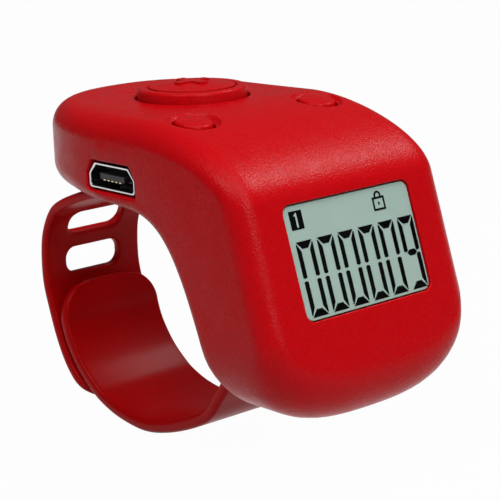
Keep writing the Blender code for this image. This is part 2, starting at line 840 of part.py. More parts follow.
def make_count_button():
    """A domed cap with a rim, hollow below, with a boss that meets the switch's plunger."""
    base = case_top + top_crown - case_wall - fit_gap - count_flange_height
    top = case_top + top_crown + count_rise - base
    rim = count_radius - count_rim
    inner = rim - count_groove
    profile = [(0.0, top + count_dome)]
    for k in range(1, dome_steps + 1):
        reach = inner * k / dome_steps
        profile.append((reach, top + count_dome * (1 - (reach / rim) ** 2)))
    ceiling = top - count_skin
    boss_low = board_top + fit_gap + count_switch_height + count_plunger_rise + fit_gap - base
    profile += [(inner + count_groove / 2, top - count_groove), (rim, top),
                (count_radius - count_groove, top), (count_radius, top - count_groove),
                (count_radius, count_flange_height), (count_radius + count_flange, count_flange_height),
                (count_radius + count_flange, 0.0), (count_hollow, 0.0), (count_hollow, ceiling),
                (count_boss_radius, ceiling), (count_boss_radius, boss_low), (0.0, boss_low)]
    add_piece("count_button", red_plastic, turned_mesh("count_button", profile), (0.0, count_y, base))
    add_switch("count", 0.0, count_y, count_switch_size, count_switch_height, count_plunger_radius,
               count_plunger_rise)


def add_switch(name, x, y, size, height, plunger_radius, plunger_rise):
    """A switch body on the main board, with a well, and the plunger that sinks into it."""
    low = board_top + fit_gap
    body = add_piece(name + "_switch", black_plastic, box_mesh(name + "_switch", size, size, height),
                     (x, y, low + height / 2))
    well_height = height - well_floor + overrun
    well = disc_mesh(name + "_well", plunger_radius + thread_gap, well_height)
    combine(body, add_cutter(name + "_well", well, (x, y, low + well_floor + well_height / 2)))
    plunger_height = plunger_root + plunger_rise
    add_piece(name + "_plunger", black_plastic, disc_mesh(name + "_plunger", plunger_radius, plunger_height),
              (x, y, low + height - plunger_root + plunger_height / 2))


def make_key(name, side):
    """A small flanged key whose top follows the slope of the shoulder."""
    surface, slope = shoulder_at(key_x, key_y)
    low = board_top + fit_gap + key_switch_height + key_plunger_rise + fit_gap
    top = surface - low
    flange_top = top - key_seat_depth + key_flange_height - fit_gap
    flange_low = flange_top - key_flange_height
    profile = [(0.0, top), (key_radius - key_bevel, top), (key_radius, top - key_bevel),
               (key_radius, flange_top), (key_radius + key_flange, flange_top),
               (key_radius + key_flange, flange_low), (key_radius, flange_low),
               (key_radius, 0.0), (0.0, 0.0)]
    mesh = turned_mesh(name + "_button", profile, key_sides)
    for vertex in mesh.vertices:
        if vertex.co.z > flange_top + key_bevel:
            vertex.co.z += vertex.co.y * slope
    add_piece(name + "_button", red_plastic, mesh, (side * key_x, key_y, low))
    add_switch(name, side * key_x, key_y, key_switch_size, key_switch_height, key_plunger_radius,
               key_plunger_rise)


def make_main_board():
    """The main board, notched on the left for the charging socket, and its chip."""
    notch_low = port_y - port_width / 2 - fit_gap
    notch_high = max(port_y + port_width / 2 + fit_gap, board_waist)
    notch_x = port_inset + port_depth + fit_gap - half_width
    outline = [(-board_half_width, board_front), (board_half_width, board_front),
               (board_half_width, board_waist), (board_tail_half_width, board_waist),
               (board_tail_half_width, board_tail), (-board_tail_half_width, board_tail),
               (-board_tail_half_width, notch_high), (notch_x, notch_high), (notch_x, notch_low),
               (-board_half_width, notch_low)]
    board = plate_mesh("main_board", outline, board_thickness)
    add_piece("main_board", circuit_board, board, (0.0, 0.0, board_top - board_thickness / 2))
    chip = box_mesh("control_chip", chip_size, chip_size, chip_height)
    add_piece("control_chip", black_plastic, chip, (0.0, chip_y, board_top + fit_gap + chip_height / 2))


def make_port():
    """The socket's shell, closed at the back, and the tongue inside it."""
    mouth_x = port_inset - half_width
    middle = mouth_x + port_depth / 2
    shell = add_piece("port_shell", bright_steel, plate_mesh("port_shell", port_outline(0.0), port_depth),
                      (middle, port_y, port_z), port_turn)
    bore = plate_mesh("port_bore", port_outline(-port_skin), port_depth)
    combine(shell, add_cutter("port_bore", bore, (middle - port_back, port_y, port_z), port_turn))
    back = mouth_x + port_depth - port_back - fit_gap
    base = box_mesh("port_tongue", tongue_base, port_narrow - 2 * port_skin - 2 * fit_gap,
                    port_height - 2 * port_skin - 2 * thread_gap)
    tongue = add_piece("port_tongue", black_plastic, base, (back - tongue_base / 2, port_y, port_z))
    blade = box_mesh("tongue_blade", tongue_reach, tongue_width, tongue_thickness)
    combine(tongue, add_cutter("tongue_blade", blade, (back - tongue_reach / 2, port_y, port_z)), "UNION")


def face_layer(name, finish, width, low, high, depth, thickness, radius):
    """A plate behind the face, between two depths counted inward from its surface."""
    mesh = plate_mesh(name, rounded_rectangle(width, high - low, radius, small_corner_steps), thickness)
    return add_piece(name, finish, mesh, on_face(0.0, (high + low) / 2, depth + thickness / 2), face_turn)


def make_display():
    """The lens in the window, then the glass, light guide, contact strip, board and battery."""
    lens_width = window_width - 2 * lens_side_gap
    lens_height = window_height - 2 * lens_side_gap
    flange_depth = case_wall + fit_gap + lens_flange_thickness / 2
    lens = face_layer("display_lens", clear_plastic, lens_width, -lens_height / 2, lens_height / 2,
                      lens_inset, flange_depth - lens_inset, window_radius - lens_side_gap)
    flange_outline = rounded_rectangle(window_width + 2 * lens_flange, window_height + 2 * lens_flange,
                                       window_radius, small_corner_steps)
    flange = plate_mesh("lens_flange", flange_outline, lens_flange_thickness)
    combine(lens, add_cutter("lens_flange", flange, on_face(0.0, 0.0, flange_depth), face_turn), "UNION")
    depth = flange_depth + lens_flange_thickness / 2 + fit_gap
    face_layer("display_glass", grey_glass, glass_width, glass_low, glass_high, depth, glass_thickness,
               window_radius)
    depth += glass_thickness + fit_gap
    face_layer("display_light", white_plastic, glass_width, glass_low, light_high, depth, light_thickness,
               window_radius)
    face_layer("display_contact", grey_rubber, contact_width, glass_high - contact_height, glass_high, depth,
               light_thickness, contact_radius)
    depth += light_thickness + fit_gap
    face_layer("display_board", circuit_board, glass_width, glass_low, glass_high, depth,
               face_board_thickness, window_radius)
    depth += face_board_thickness + fit_gap
    face_layer("battery", foil, battery_width, battery_low, battery_high, depth, battery_thickness,
               battery_radius)
    make_ribbon(depth)


def make_ribbon(depth):
    """A bent strip from the back of the display board to the underside of the main board."""
    start = on_face(0.0, battery_high + fit_gap + ribbon_thickness, depth + ribbon_thickness / 2)
    knee = on_face(0.0, glass_high, depth + ribbon_thickness / 2)
    level = board_top - board_thickness - fit_gap - ribbon_thickness / 2
    route = bezier((start.y, start.z), (knee.y, knee.z + ribbon_land), (board_front - ribbon_land, level),
                   (board_front + ribbon_land, level))
    upper = []
    lower = []
    for k, (y, z) in enumerate(route):
        side = unit_inward(route, k)
        upper.append((y + side.x * ribbon_thickness / 2, z + side.y * ribbon_thickness / 2))
        lower.append((y - side.x * ribbon_thickness / 2, z - side.y * ribbon_thickness / 2))
    ribbon = plate_mesh("board_ribbon", upper + lower[::-1], ribbon_width)
    add_piece("board_ribbon", amber_film, ribbon, (0.0, 0.0, 0.0), side_turn)


def make_rear_strap():
    """The strap with adjusting slots, hung from under the back of the casing."""
    route = rear_strap_route()
    sections = strap_sections(route, rear_strap_thickness, rear_anchor_thickness, 0.0, strap_tip_radius)
    strap = add_piece("rear_strap", strap_rubber, lofted_mesh("rear_strap", sections))
    for k in range(slot_count):
        centre, turn = place_on_route(route, slot_start + k * slot_pitch)
        slot = plate_mesh("strap_slot", rounded_rectangle(slot_length, slot_width, slot_radius,
                                                          slot_corner_steps), 4 * rear_strap_thickness)
        combine(strap, add_cutter("strap_slot_%d" % (k + 1), slot, centre, turn))


def place_on_route(route, distance):
    """Point and turn on a route, the local Y along it and the local Z across it."""
    gone = 0.0
    for a, b in zip(route, route[1:]):
        step = (b - a).length
        if gone + step >= distance:
            along = (b - a).normalized()
            return a.lerp(b, (distance - gone) / step), (math.atan2(along.z, along.y), 0.0, 0.0)
        gone += step
    return route[-1], (0.0, 0.0, 0.0)


def make_front_strap():
    """The strap from the leg, with a stud that buttons through one of the slots."""
    route = front_strap_route()
    sections = strap_sections(route, front_strap_thickness, front_anchor_thickness, 0.0, strap_tip_radius)
    strap = add_piece("front_strap", strap_rubber, lofted_mesh("front_strap", sections))
    centre, turn = place_on_route(rear_strap_route(), slot_start + (stud_slot - 1) * slot_pitch)
    out = Vector((0.0, -math.sin(turn[0]), math.cos(turn[0])))
    depth = min((point - centre).length for point in route)
    head_low = rear_strap_thickness / 2 + fit_gap
    neck_height = depth + head_low + stud_head_thickness / 2
    neck = box_mesh("stud_neck", stud_neck_length, stud_neck_width, neck_height)
    combine(strap, add_cutter("stud_neck", neck, centre + out * (neck_height / 2 - depth), turn), "UNION")
    head = plate_mesh("stud_head", rounded_rectangle(stud_head_length, stud_head_width, stud_head_radius),
                      stud_head_thickness)
    head_place = centre + out * (head_low + stud_head_thickness / 2)
    combine(strap, add_cutter("stud_head", head, head_place, turn), "UNION")


clear_scene()
parts = new_collection("finger_tally_counter")
cutters = new_collection("cutters")
make_case()
make_inner_cover()
make_screws()
make_count_button()
make_key("reset", -1)
make_key("lock", 1)
make_main_board()
make_port()
make_display()
make_rear_strap()
make_front_strap()
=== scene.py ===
"""Looks of the finger tally counter: fine casing, display, keys, socket and silicone straps.

Metres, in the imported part's own frame: +X along the finger, +Y back, +Z up.
"""
import functools
import math

import bmesh
import bpy
from mathutils import Matrix, Vector


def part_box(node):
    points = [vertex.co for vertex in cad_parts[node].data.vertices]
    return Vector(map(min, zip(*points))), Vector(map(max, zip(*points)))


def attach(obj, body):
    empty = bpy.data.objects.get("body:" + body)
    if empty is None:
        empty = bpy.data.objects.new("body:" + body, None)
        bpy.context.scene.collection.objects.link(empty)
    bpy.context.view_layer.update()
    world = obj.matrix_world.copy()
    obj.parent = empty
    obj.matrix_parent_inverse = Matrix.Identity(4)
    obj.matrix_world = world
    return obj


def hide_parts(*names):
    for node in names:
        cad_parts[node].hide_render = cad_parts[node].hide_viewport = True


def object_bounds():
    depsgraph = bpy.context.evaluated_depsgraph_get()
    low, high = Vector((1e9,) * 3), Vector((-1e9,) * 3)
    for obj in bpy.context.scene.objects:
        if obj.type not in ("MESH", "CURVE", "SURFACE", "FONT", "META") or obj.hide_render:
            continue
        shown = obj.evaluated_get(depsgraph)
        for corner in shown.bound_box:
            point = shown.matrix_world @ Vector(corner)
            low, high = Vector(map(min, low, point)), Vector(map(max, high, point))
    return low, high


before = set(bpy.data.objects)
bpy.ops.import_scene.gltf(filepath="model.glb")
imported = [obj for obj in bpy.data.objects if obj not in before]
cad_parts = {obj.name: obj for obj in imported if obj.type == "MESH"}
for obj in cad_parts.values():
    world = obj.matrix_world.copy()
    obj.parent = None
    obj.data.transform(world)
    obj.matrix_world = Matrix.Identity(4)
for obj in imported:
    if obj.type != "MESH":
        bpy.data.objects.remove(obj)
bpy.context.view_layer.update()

# Fits shared by all the pieces
fit_gap = 0.0003
thread_gap = 0.0002
overrun = 0.0010
hollow_overrun = 0.0020
weld_distance = 0.000005

# Casing
case_width = 0.0280
half_width = case_width / 2
case_wall = 0.0015
case_top = 0.0213
top_crown = 0.00030
case_foot = 0.0078
rear_start = -0.0030
rear_reach = 0.0177
rear_power = 2.5
arch_rise = 0.0122
face_lean = math.radians(17.6)
face_y = -0.02575
face_z = 0.0087
edge_radius = 0.0027
arch_edge_radius = 0.0009
chin_radius = 0.0045
chin_fade = 0.0010
heel_radius = 0.0015
rear_foot_radius = 0.0028
rear_foot_fade = 0.0080
foot_height = 0.0104
foot_power = 2.9
side_crowding = 0.0060
least_radius = 0.0004
face_flat = 0.0062
shoulder_start = -0.0070
shoulder_top_handle = 0.0070
shoulder_face_handle = 0.0036
arch_start = -0.0048
arch_end_y = -0.0179
arch_end_z = -0.0029
arch_lean = math.radians(20.5)
arch_top_handle = 0.0070
arch_leg_handle = 0.0115

# Inner cover and its screws
cover_thickness = 0.0012
screw_shank = 0.0008
screw_head = 0.0013
bore_depth = 0.0050
boss_radius = 0.0015
rear_screw_inset = 0.0052
rear_screw_x = half_width - rear_screw_inset
rear_screw_y = 0.0030
face_screw_inset = 0.0040
face_screw_x = half_width - face_screw_inset
face_screw_drop = 0.0081

# Count button
count_y = -0.0007
count_radius = 0.0059
count_rise = 0.00105
count_dome = 0.0006
count_rim = 0.0010
count_groove = 0.0003
count_skin = 0.0012
count_wall = 0.0011
count_hollow = count_radius - count_wall
count_flange = 0.0007
count_flange_height = 0.0006
count_boss_radius = 0.0014

# Small keys
key_inset = 0.0055
key_x = half_width - key_inset
key_y = -0.0111
key_radius = 0.00195
key_dish_radius = 0.0028
key_dish_depth = 0.0005
key_seat_depth = 0.0017
key_flange = 0.0006
key_flange_height = 0.0005

# Charging socket on the left side
port_y = -0.00385
port_z = 0.0151
port_width = 0.0075
port_height = 0.0026
port_narrow = 0.0056
port_depth = 0.0050
port_inset = 0.0003
port_margin = 0.0003
tongue_thickness = 0.0006
tongue_reach = 0.0036
tongue_base = 0.0010
port_back = 0.0010
port_knee_share = 0.05

# Display, in layers behind the sloping face
window_width = 0.01735
window_height = 0.01155
window_radius = 0.0010
lens_inset = 0.00012
lens_side_gap = 0.00015

# Straps
strap_screw_gap = 0.00065
strap_width = 2 * (rear_screw_x - screw_head - strap_screw_gap)
strap_reach = 0.0193
strap_drop = 0.01475
rear_strap_thickness = 0.0011
front_strap_thickness = 0.0013
strap_edge = 0.00048
strap_edge_share = 0.8
rear_anchor_thickness = 0.0019
front_anchor_thickness = 0.0026
anchor_length = 0.0011
anchor_fade_share = 0.5
rear_anchor_y = -0.0012
rear_anchor_drop = 0.0037
front_anchor_reach = 0.0050
strap_tip_radius = 0.0042
slot_margin = 0.00305
slot_length = strap_width - 2 * slot_margin
slot_width = 0.0030
slot_radius = 0.0013
slot_pitch = 0.0049
slot_count = 5
slot_start = 0.0226
stud_slot = 4
stud_neck_inset = 0.0015
stud_neck_length = slot_length - 2 * stud_neck_inset
stud_neck_width = 0.0017
stud_head_inset = 0.0010
stud_head_length = slot_length - 2 * stud_head_inset
stud_head_width = 0.0036
stud_head_radius = 0.0012
stud_head_thickness = 0.0009

# The straps' anchors, as shares of the rear drop and of the front reach
rear_anchor_shares = [(0.0, 0.0), (0.5, -0.05), (0.93, -0.36), (1.28, -0.74)]
front_anchor_shares = [(-0.66, 0.38), (-0.40, 0.43), (-0.16, 0.43), (0.10, 0.35), (0.44, 0.12),
                       (0.86, -0.22)]

# Routes of the straps round the finger, as shares of strap_reach and strap_drop
rear_ring_shares = [(0.316, 0.75), (0.468, 0.716), (0.616, 0.661), (0.795, 0.572), (0.90, 0.483),
                    (0.974, 0.322), (1.003, 0.158), (1.003, -0.082), (0.958, -0.301), (0.895, -0.527),
                    (0.816, -0.712), (0.716, -0.846), (0.642, -0.904), (0.574, -0.952)]
front_ring_shares = [(-0.626, -0.473), (-0.563, -0.589), (-0.466, -0.743), (-0.311, -0.853),
                     (-0.092, -0.955), (0.111, -1.003), (0.329, -0.973), (0.489, -0.904), (0.584, -0.829),
                     (0.689, -0.712), (0.784, -0.545), (0.829, -0.401), (0.842, -0.295), (0.874, -0.103)]

# Facets and turns
smooth_angle = math.radians(32)
corner_steps = 12
curve_steps = 36
edge_steps = 16
span_steps = 6
end_stretch = 1.6
face_steps = 8
fine_steps = 160
disc_sides = 96
pin_sides = 32
dome_steps = 10
small_corner_steps = 6
route_samples = 16
strap_steps = 120
face_up = Vector((0.0, math.sin(face_lean), math.cos(face_lean)))
face_out = Vector((0.0, -math.cos(face_lean), math.sin(face_lean)))
cut_depth = 4 * case_wall
face_turn = (math.pi / 2 - face_lean, 0.0, 0.0)
port_turn = (math.pi / 2, 0.0, -math.pi / 2)
no_turn = (0.0, 0.0, 0.0)

# Finer facets and soft edges of the scene's own pieces
circle_sides = 96
lip_steps = 5
edge_arc_steps = 6
dish_steps = 8
arch_arc_steps = 16
window_lip = 0.00012
hole_lip = 0.00020
port_lip = 0.00030
port_corner = 0.00035
port_skin_lip = 0.00006
port_rim = 0.00018
slot_lip = 0.00030
dish_power = 1.6
groove_edge = 0.00012
rim_edge = 0.00035
key_edge = 0.00030
key_crown = 0.00010
crown_share = 0.8
plus_length = 0.0042
plus_width = 0.0011
plus_height = 0.00028
plus_corner = 0.0002
stud_neck_corner = stud_neck_width / 3

# Display: clear sheet, its face and what it shows
sheet_thickness = 0.00012
panel_depth = 0.00027
panel_thickness = 0.00060
ink_thickness = 0.00003
digit_count = 6
digit_left = -0.00782
digit_pitch = 0.00279
digit_width = 0.00220
digit_top = 0.00208
digit_height = 0.00745
digit_stroke = 0.00053
digit_bar = 0.00074
digit_split = 0.00022
digit_corner = digit_split / 4
dash_height = 0.00062
dash_inset = 0.00042
box_x = -0.00700
box_up = 0.00417
box_width = 0.00166
box_height = 0.00186
box_corner = 0.00006
one_height = 0.00145
one_stroke = 0.00020
one_flag = 0.00030
lock_x = 0.00424
lock_up = 0.00394
lock_width = 0.00146
lock_height = 0.00118
ink_line = 0.00021
lock_corner = ink_line / 3
keyhole_width = 0.00022
keyhole_height = 0.00030
shackle_radius = 0.00048
shackle_leg = 0.00022

# Contacts on the socket's tongue
contact_count = 5
contact_pitch = 0.00065
contact_strip_width = 0.00035
contact_strip_height = 0.00010

# Colours and surfaces
red = (0.560, 0.0020, 0.0050)
deep_red = (0.400, 0.0030, 0.0050)
strap_red = (0.530, 0.0015, 0.0030)
lcd_green = (0.450, 0.610, 0.540)
lcd_black = (0.0015, 0.0018, 0.0018)
nickel = (0.640, 0.645, 0.650)
gold = (0.720, 0.600, 0.360)
black = (0.012, 0.012, 0.013)
board_green = (0.015, 0.110, 0.045)
white = (0.820, 0.830, 0.820)
grey = (0.300, 0.300, 0.310)
amber = (0.550, 0.260, 0.050)
lens_alpha = 0.04
red_gloss = 0.10
strap_gloss = 0.09
ink_gloss = 0.05
plain_gloss = 0.50
floor_roughness = 0.90
broad_share = 9.0
grain_strength = 0.35
noise_detail = 2.0
ramp_low = 0.3
ramp_high = 0.7

# Surfaces: name, colour, roughness, grain, depth, colour spread, metallic value, roughness spread, gloss
surfaces = {
    "case": ("case_red", red, 0.29, 0.00022, 0.00013, 0.08, 0.0, 0.05, red_gloss),
    "button": ("button_red", red, 0.30, 0.00030, 0.00004, 0.08, 0.0, 0.05, red_gloss),
    "cover": ("cover_red", deep_red, 0.50, 0.00022, 0.00003, 0.08, 0.0, 0.05, red_gloss),
    "strap": ("strap_silicone", strap_red, 0.34, 0.0012, 0.000008, 0.03, 0.0, 0.04, strap_gloss),
    "panel": ("display_grey_green", lcd_green, 0.55, 0.0025, 0.000001, 0.02, 0.0, 0.05, plain_gloss),
    "segment": ("display_black", lcd_black, 0.60, 0.0004, 0.000001, 0.10, 0.0, 0.05, ink_gloss),
    "nickel": ("bright_nickel", nickel, 0.16, 0.0009, 0.000003, 0.04, 1.0, 0.05, plain_gloss),
    "gold": ("contact_gold", gold, 0.25, 0.0004, 0.000002, 0.05, 1.0, 0.05, plain_gloss),
    "black": ("black_plastic", black, 0.42, 0.00030, 0.00001, 0.20, 0.0, 0.05, plain_gloss),
    "board": ("solder_mask", board_green, 0.35, 0.0015, 0.00001, 0.15, 0.0, 0.05, plain_gloss),
    "white": ("white_plastic", white, 0.50, 0.0006, 0.000005, 0.03, 0.0, 0.05, plain_gloss),
    "rubber": ("contact_rubber", grey, 0.70, 0.0004, 0.00002, 0.08, 0.0, 0.05, plain_gloss),
    "film": ("ribbon_film", amber, 0.30, 0.0008, 0.000004, 0.10, 0.0, 0.05, plain_gloss),
    "foil": ("battery_foil", nickel, 0.35, 0.0016, 0.00003, 0.05, 0.8, 0.05, plain_gloss),
    "steel": ("screw_steel", nickel, 0.28, 0.0003, 0.000004, 0.08, 1.0, 0.05, plain_gloss),
    "clear": ("clear_lens", lcd_black, 0.06, 0.004, 0.000001, 0.01, 0.0, 0.02, plain_gloss),
}

# Studio
ambient_colour = (1.0, 1.0, 1.0)
ambient_strength = 0.11
backdrop_colour = (1.0, 1.0, 1.0)
floor_colour = (0.46, 0.46, 0.46)
floor_radius = 0.60
floor_glow_share = 0.975
lamp_aim = Vector((0.0, -0.005, 0.008))

# Lamps: name, place, width, height and power
lamps = [("top_light", (0.00, -0.13, 0.46), 0.26, 0.26, 0.72),
         ("left_light", (-0.26, -0.05, 0.40), 0.20, 0.20, 0.60),
         ("front_strip", (-0.10, -0.41, 0.32), 0.12, 0.40, 1.05),
         ("rear_light", (0.28, -0.045, 0.34), 0.12, 0.10, 0.42)]

# Camera
camera_lens = 129.6
camera_sensor = 36.0
camera_near = 0.01
camera_far = 5.0
camera_place = Vector((-0.12146, -0.14880, 0.05156))
camera_up = Vector((0.18272, 0.15862, 0.97029))
camera_back = Vector((-0.63738, -0.73230, 0.23974))


def on_face(x, up, inward):
    """World place of a point of the display face, counted inward from its surface."""
    return Vector((x, face_y, face_z)) + face_up * up - face_out * inward


def mesh_from(bm, name):
    bmesh.ops.recalc_face_normals(bm, faces=bm.faces[:])
    mesh = bpy.data.meshes.new(name)
    bm.to_mesh(mesh)
    bm.free()
    return mesh


def box_mesh(name, width, depth, height):
    bm = bmesh.new()
    bmesh.ops.create_cube(bm, size=1.0)
    bmesh.ops.scale(bm, vec=(width, depth, height), verts=bm.verts[:])
    return mesh_from(bm, name)


def disc_mesh(name, radius, height, facets=pin_sides):
    bm = bmesh.new()
    bmesh.ops.create_cone(bm, cap_ends=True, segments=facets, radius1=radius, radius2=radius, depth=height)
    return mesh_from(bm, name)


def plate_mesh(name, outline, thickness):
    """A flat outline in X and Y, thickened evenly about its plane."""
    curve = bpy.data.curves.new(name, "CURVE")
    curve.dimensions = "2D"
    curve.fill_mode = "BOTH"
    curve.extrude = thickness / 2
    spline = curve.splines.new("POLY")
    spline.points.add(len(outline) - 1)
    for point, (x, y) in zip(spline.points, outline):
        point.co = (x, y, 0.0, 1.0)
    spline.use_cyclic_u = True
    holder = bpy.data.objects.new(name, curve)
    bpy.context.scene.collection.objects.link(holder)
    bpy.context.view_layer.update()
    flat = bpy.data.meshes.new_from_object(holder.evaluated_get(bpy.context.evaluated_depsgraph_get()))
    bpy.data.objects.remove(holder, do_unlink=True)
    bpy.data.curves.remove(curve)
    bm = bmesh.new()
    bm.from_mesh(flat)
    bpy.data.meshes.remove(flat)
    bmesh.ops.remove_doubles(bm, verts=bm.verts[:], dist=weld_distance)
    return mesh_from(bm, name)


def turned_mesh(name, profile, facets=disc_sides):
    """A solid turned about Z from a profile of (radius, height), axis to axis, top to bottom."""
    bm = bmesh.new()
    rings = []
    for radius, height in profile:
        if radius > 0.0:
            turns = [math.tau * k / facets for k in range(facets)]
            ring = [bm.verts.new((radius * math.cos(turn), radius * math.sin(turn), height))
                    for turn in turns]
        else:
            ring = [bm.verts.new((0.0, 0.0, height))]
        rings.append(ring)
    skin_rings(bm, rings)
    return mesh_from(bm, name)


def skin_rings(bm, rings):
    """Faces between neighbouring closed rings; a ring of one point closes an end."""
    for ring, following in zip(rings, rings[1:]):
        count = max(len(ring), len(following))
        for k in range(count):
            corners = []
            for vertex in (ring[k % len(ring)], ring[(k + 1) % len(ring)],
                           following[(k + 1) % len(following)], following[k % len(following)]):
                if vertex not in corners:
                    corners.append(vertex)
            bm.faces.new(corners)


def lofted_mesh(name, sections):
    """A solid through closed sections of equally many points, with flat ends."""
    bm = bmesh.new()
    rings = [[bm.verts.new(point) for point in section] for section in sections]
    skin_rings(bm, rings)
    bmesh.ops.triangulate(bm, faces=bm.faces[:])
    bm.faces.new(rings[0])
    bm.faces.new(rings[-1])
    return mesh_from(bm, name)


def rounded_rectangle(width, height, radius, steps=corner_steps):
    outline = []
    for across, along, start in ((1, 1, 0), (-1, 1, 1), (-1, -1, 2), (1, -1, 3)):
        for k in range(steps + 1):
            angle = (start + k / steps) * math.pi / 2
            outline.append((across * (width / 2 - radius) + radius * math.cos(angle),
                            along * (height / 2 - radius) + radius * math.sin(angle)))
    return outline


def fillet(before, corner, after, radius, steps=corner_steps):
    """Points of an arc that rounds a corner between two straight sides."""
    a = (Vector(before) - Vector(corner)).normalized()
    b = (Vector(after) - Vector(corner)).normalized()
    half = a.angle(b) / 2
    centre = Vector(corner) + (a + b).normalized() * (radius / math.sin(half))
    start = Vector(corner) + a * (radius / math.tan(half)) - centre
    end = Vector(corner) + b * (radius / math.tan(half)) - centre
    turn = start.angle_signed(end)
    return [tuple(centre + Matrix.Rotation(-turn * k / steps, 2) @ start) for k in range(steps + 1)]


def bezier(start, start_handle, end_handle, end, steps=curve_steps, first=0.0):
    points = []
    for k in range(steps + 1):
        t = first + (1 - first) * k / steps
        weights = ((1 - t) ** 3, 3 * t * (1 - t) ** 2, 3 * t * t * (1 - t), t ** 3)
        points.append(tuple(sum(w * p[axis] for w, p in zip(weights, (start, start_handle, end_handle, end)))
                            for axis in range(2)))
    return points


def smooth_route(points, steps):
    """Evenly spaced points of a smooth curve through the given ones."""
    fine = []
    padded = [points[0]] + list(points) + [points[-1]]
    for p0, p1, p2, p3 in zip(padded, padded[1:], padded[2:], padded[3:]):
        for k in range(route_samples):
            t = k / route_samples
            fine.append(0.5 * (2 * p1 + (p2 - p0) * t + (2 * p0 - 5 * p1 + 4 * p2 - p3) * t * t
                               + (3 * p1 - p0 - 3 * p2 + p3) * t ** 3))
    fine.append(points[-1])
    lengths = [0.0]
    for a, b in zip(fine, fine[1:]):
        lengths.append(lengths[-1] + (b - a).length)
    route = []
    index = 0
    for k in range(steps + 1):
        wanted = lengths[-1] * k / steps
        while index < len(lengths) - 2 and lengths[index + 1] < wanted:
            index += 1
        share = (wanted - lengths[index]) / (lengths[index + 1] - lengths[index])
        route.append(fine[index].lerp(fine[index + 1], share))
    return route


def edge_drop(from_side, radius):
    """How far a rounded edge has fallen back at a distance from the side it runs into."""
    return radius - math.sqrt(radius ** 2 - max(0.0, radius - from_side) ** 2)


def face_line(inset, z):
    """Y of the sloping face, or of a plane inset behind it, at a height."""
    return face_y + inset / math.cos(face_lean) + (z - face_z) * math.tan(face_lean)


def crown(x):
    """How far the top stands above its sides at a distance from the middle."""
    return top_crown * (1.0 - (x / half_width) ** 2)


def shoulder_points(x, inset, steps=curve_steps):
    top = (shoulder_start, case_top + crown(x) - inset)
    end = on_face(0.0, face_flat, inset)
    return bezier(top, (top[0] - shoulder_top_handle, top[1]),
                  (end.y + shoulder_face_handle * face_up.y, end.z + shoulder_face_handle * face_up.z),
                  (end.y, end.z), steps)


def arch_points(offset, lowest=None, steps=curve_steps):
    """The arch from its leg up to the flat underside, moved by offset towards the finger."""
    end = (arch_end_y + offset, arch_end_z - offset)
    top = (arch_start + offset, arch_rise - offset)
    leg = (end[0] + arch_leg_handle * math.sin(arch_lean), end[1] + arch_leg_handle * math.cos(arch_lean))
    start = 0.0
    if lowest is not None:
        fine = bezier(end, leg, (top[0] - arch_top_handle, top[1]), top, fine_steps)
        start = sum(1 for point in fine if point[1] < lowest) / fine_steps
    return bezier(end, leg, (top[0] - arch_top_handle, top[1]), top, steps, start)


def heel_corner(leg, after, floor):
    """Where the arch's leg, run on straight, meets the floor."""
    return (leg[0] - (leg[1] - floor) * (after[0] - leg[0]) / (after[1] - leg[1]), floor)


def rounded_end(across, half, length, power):
    """How far a rounded end still reaches at a distance from the middle."""
    return length * max(0.0, 1.0 - (abs(across) / half) ** power) ** (1.0 / power)


def rear_at(x, inset):
    return rear_start + rounded_end(x, half_width - inset, rear_reach - inset, rear_power)


def floor_at(x, inset):
    return foot_height - case_foot - rounded_end(x, half_width - inset, foot_height - inset, foot_power)


@functools.lru_cache
def rear_outline(inset):
    """Points of the rounded back, seen from above, from one side to the middle."""
    points = []
    for k in range(fine_steps + 1):
        turn = math.pi / 2 * k / fine_steps
        points.append(Vector(((half_width - inset) * math.cos(turn) ** (2.0 / rear_power),
                              rear_start + (rear_reach - inset) * math.sin(turn) ** (2.0 / rear_power))))
    return points


def edge_distance(x, y, inset):
    """Distance from a point of the top or underside to the casing's outline, seen from above."""
    from_side = half_width - inset - abs(x)
    if y <= rear_start:
        return from_side
    outline = rear_outline(inset)
    spot = Vector((abs(x), y))
    nearest = from_side
    for a, b in zip(outline, outline[1:]):
        run = b - a
        share = min(1.0, max(0.0, (spot - a).dot(run) / run.length_squared))
        nearest = min(nearest, (spot - a - run * share).length)
    return nearest


def end_run(x, inset, radius, straight):
    """Places along a section where a rounded edge meets the back wall, wall first."""
    rear = rear_at(x, inset)
    flat = max((rear_start + straight) / 2, rear - radius * end_stretch)
    turns = [math.pi / 2 * k / corner_steps for k in range(corner_steps + 1)]
    return [rear - (rear - flat) * (1 - math.cos(turn)) for turn in turns]


def top_at(x, y, inset):
    return case_top + crown(x) - inset - edge_drop(edge_distance(x, y, inset), edge_radius - inset)


def underside_at(x, y):
    """Height of the flat underside and of its edge, which is rounder towards the back."""
    share = min(1.0, max(0.0, (y - rear_start) / rear_foot_fade))
    radius = arch_edge_radius + (rear_foot_radius - arch_edge_radius) * share
    return arch_rise + edge_drop(edge_distance(x, y, 0.0), radius)


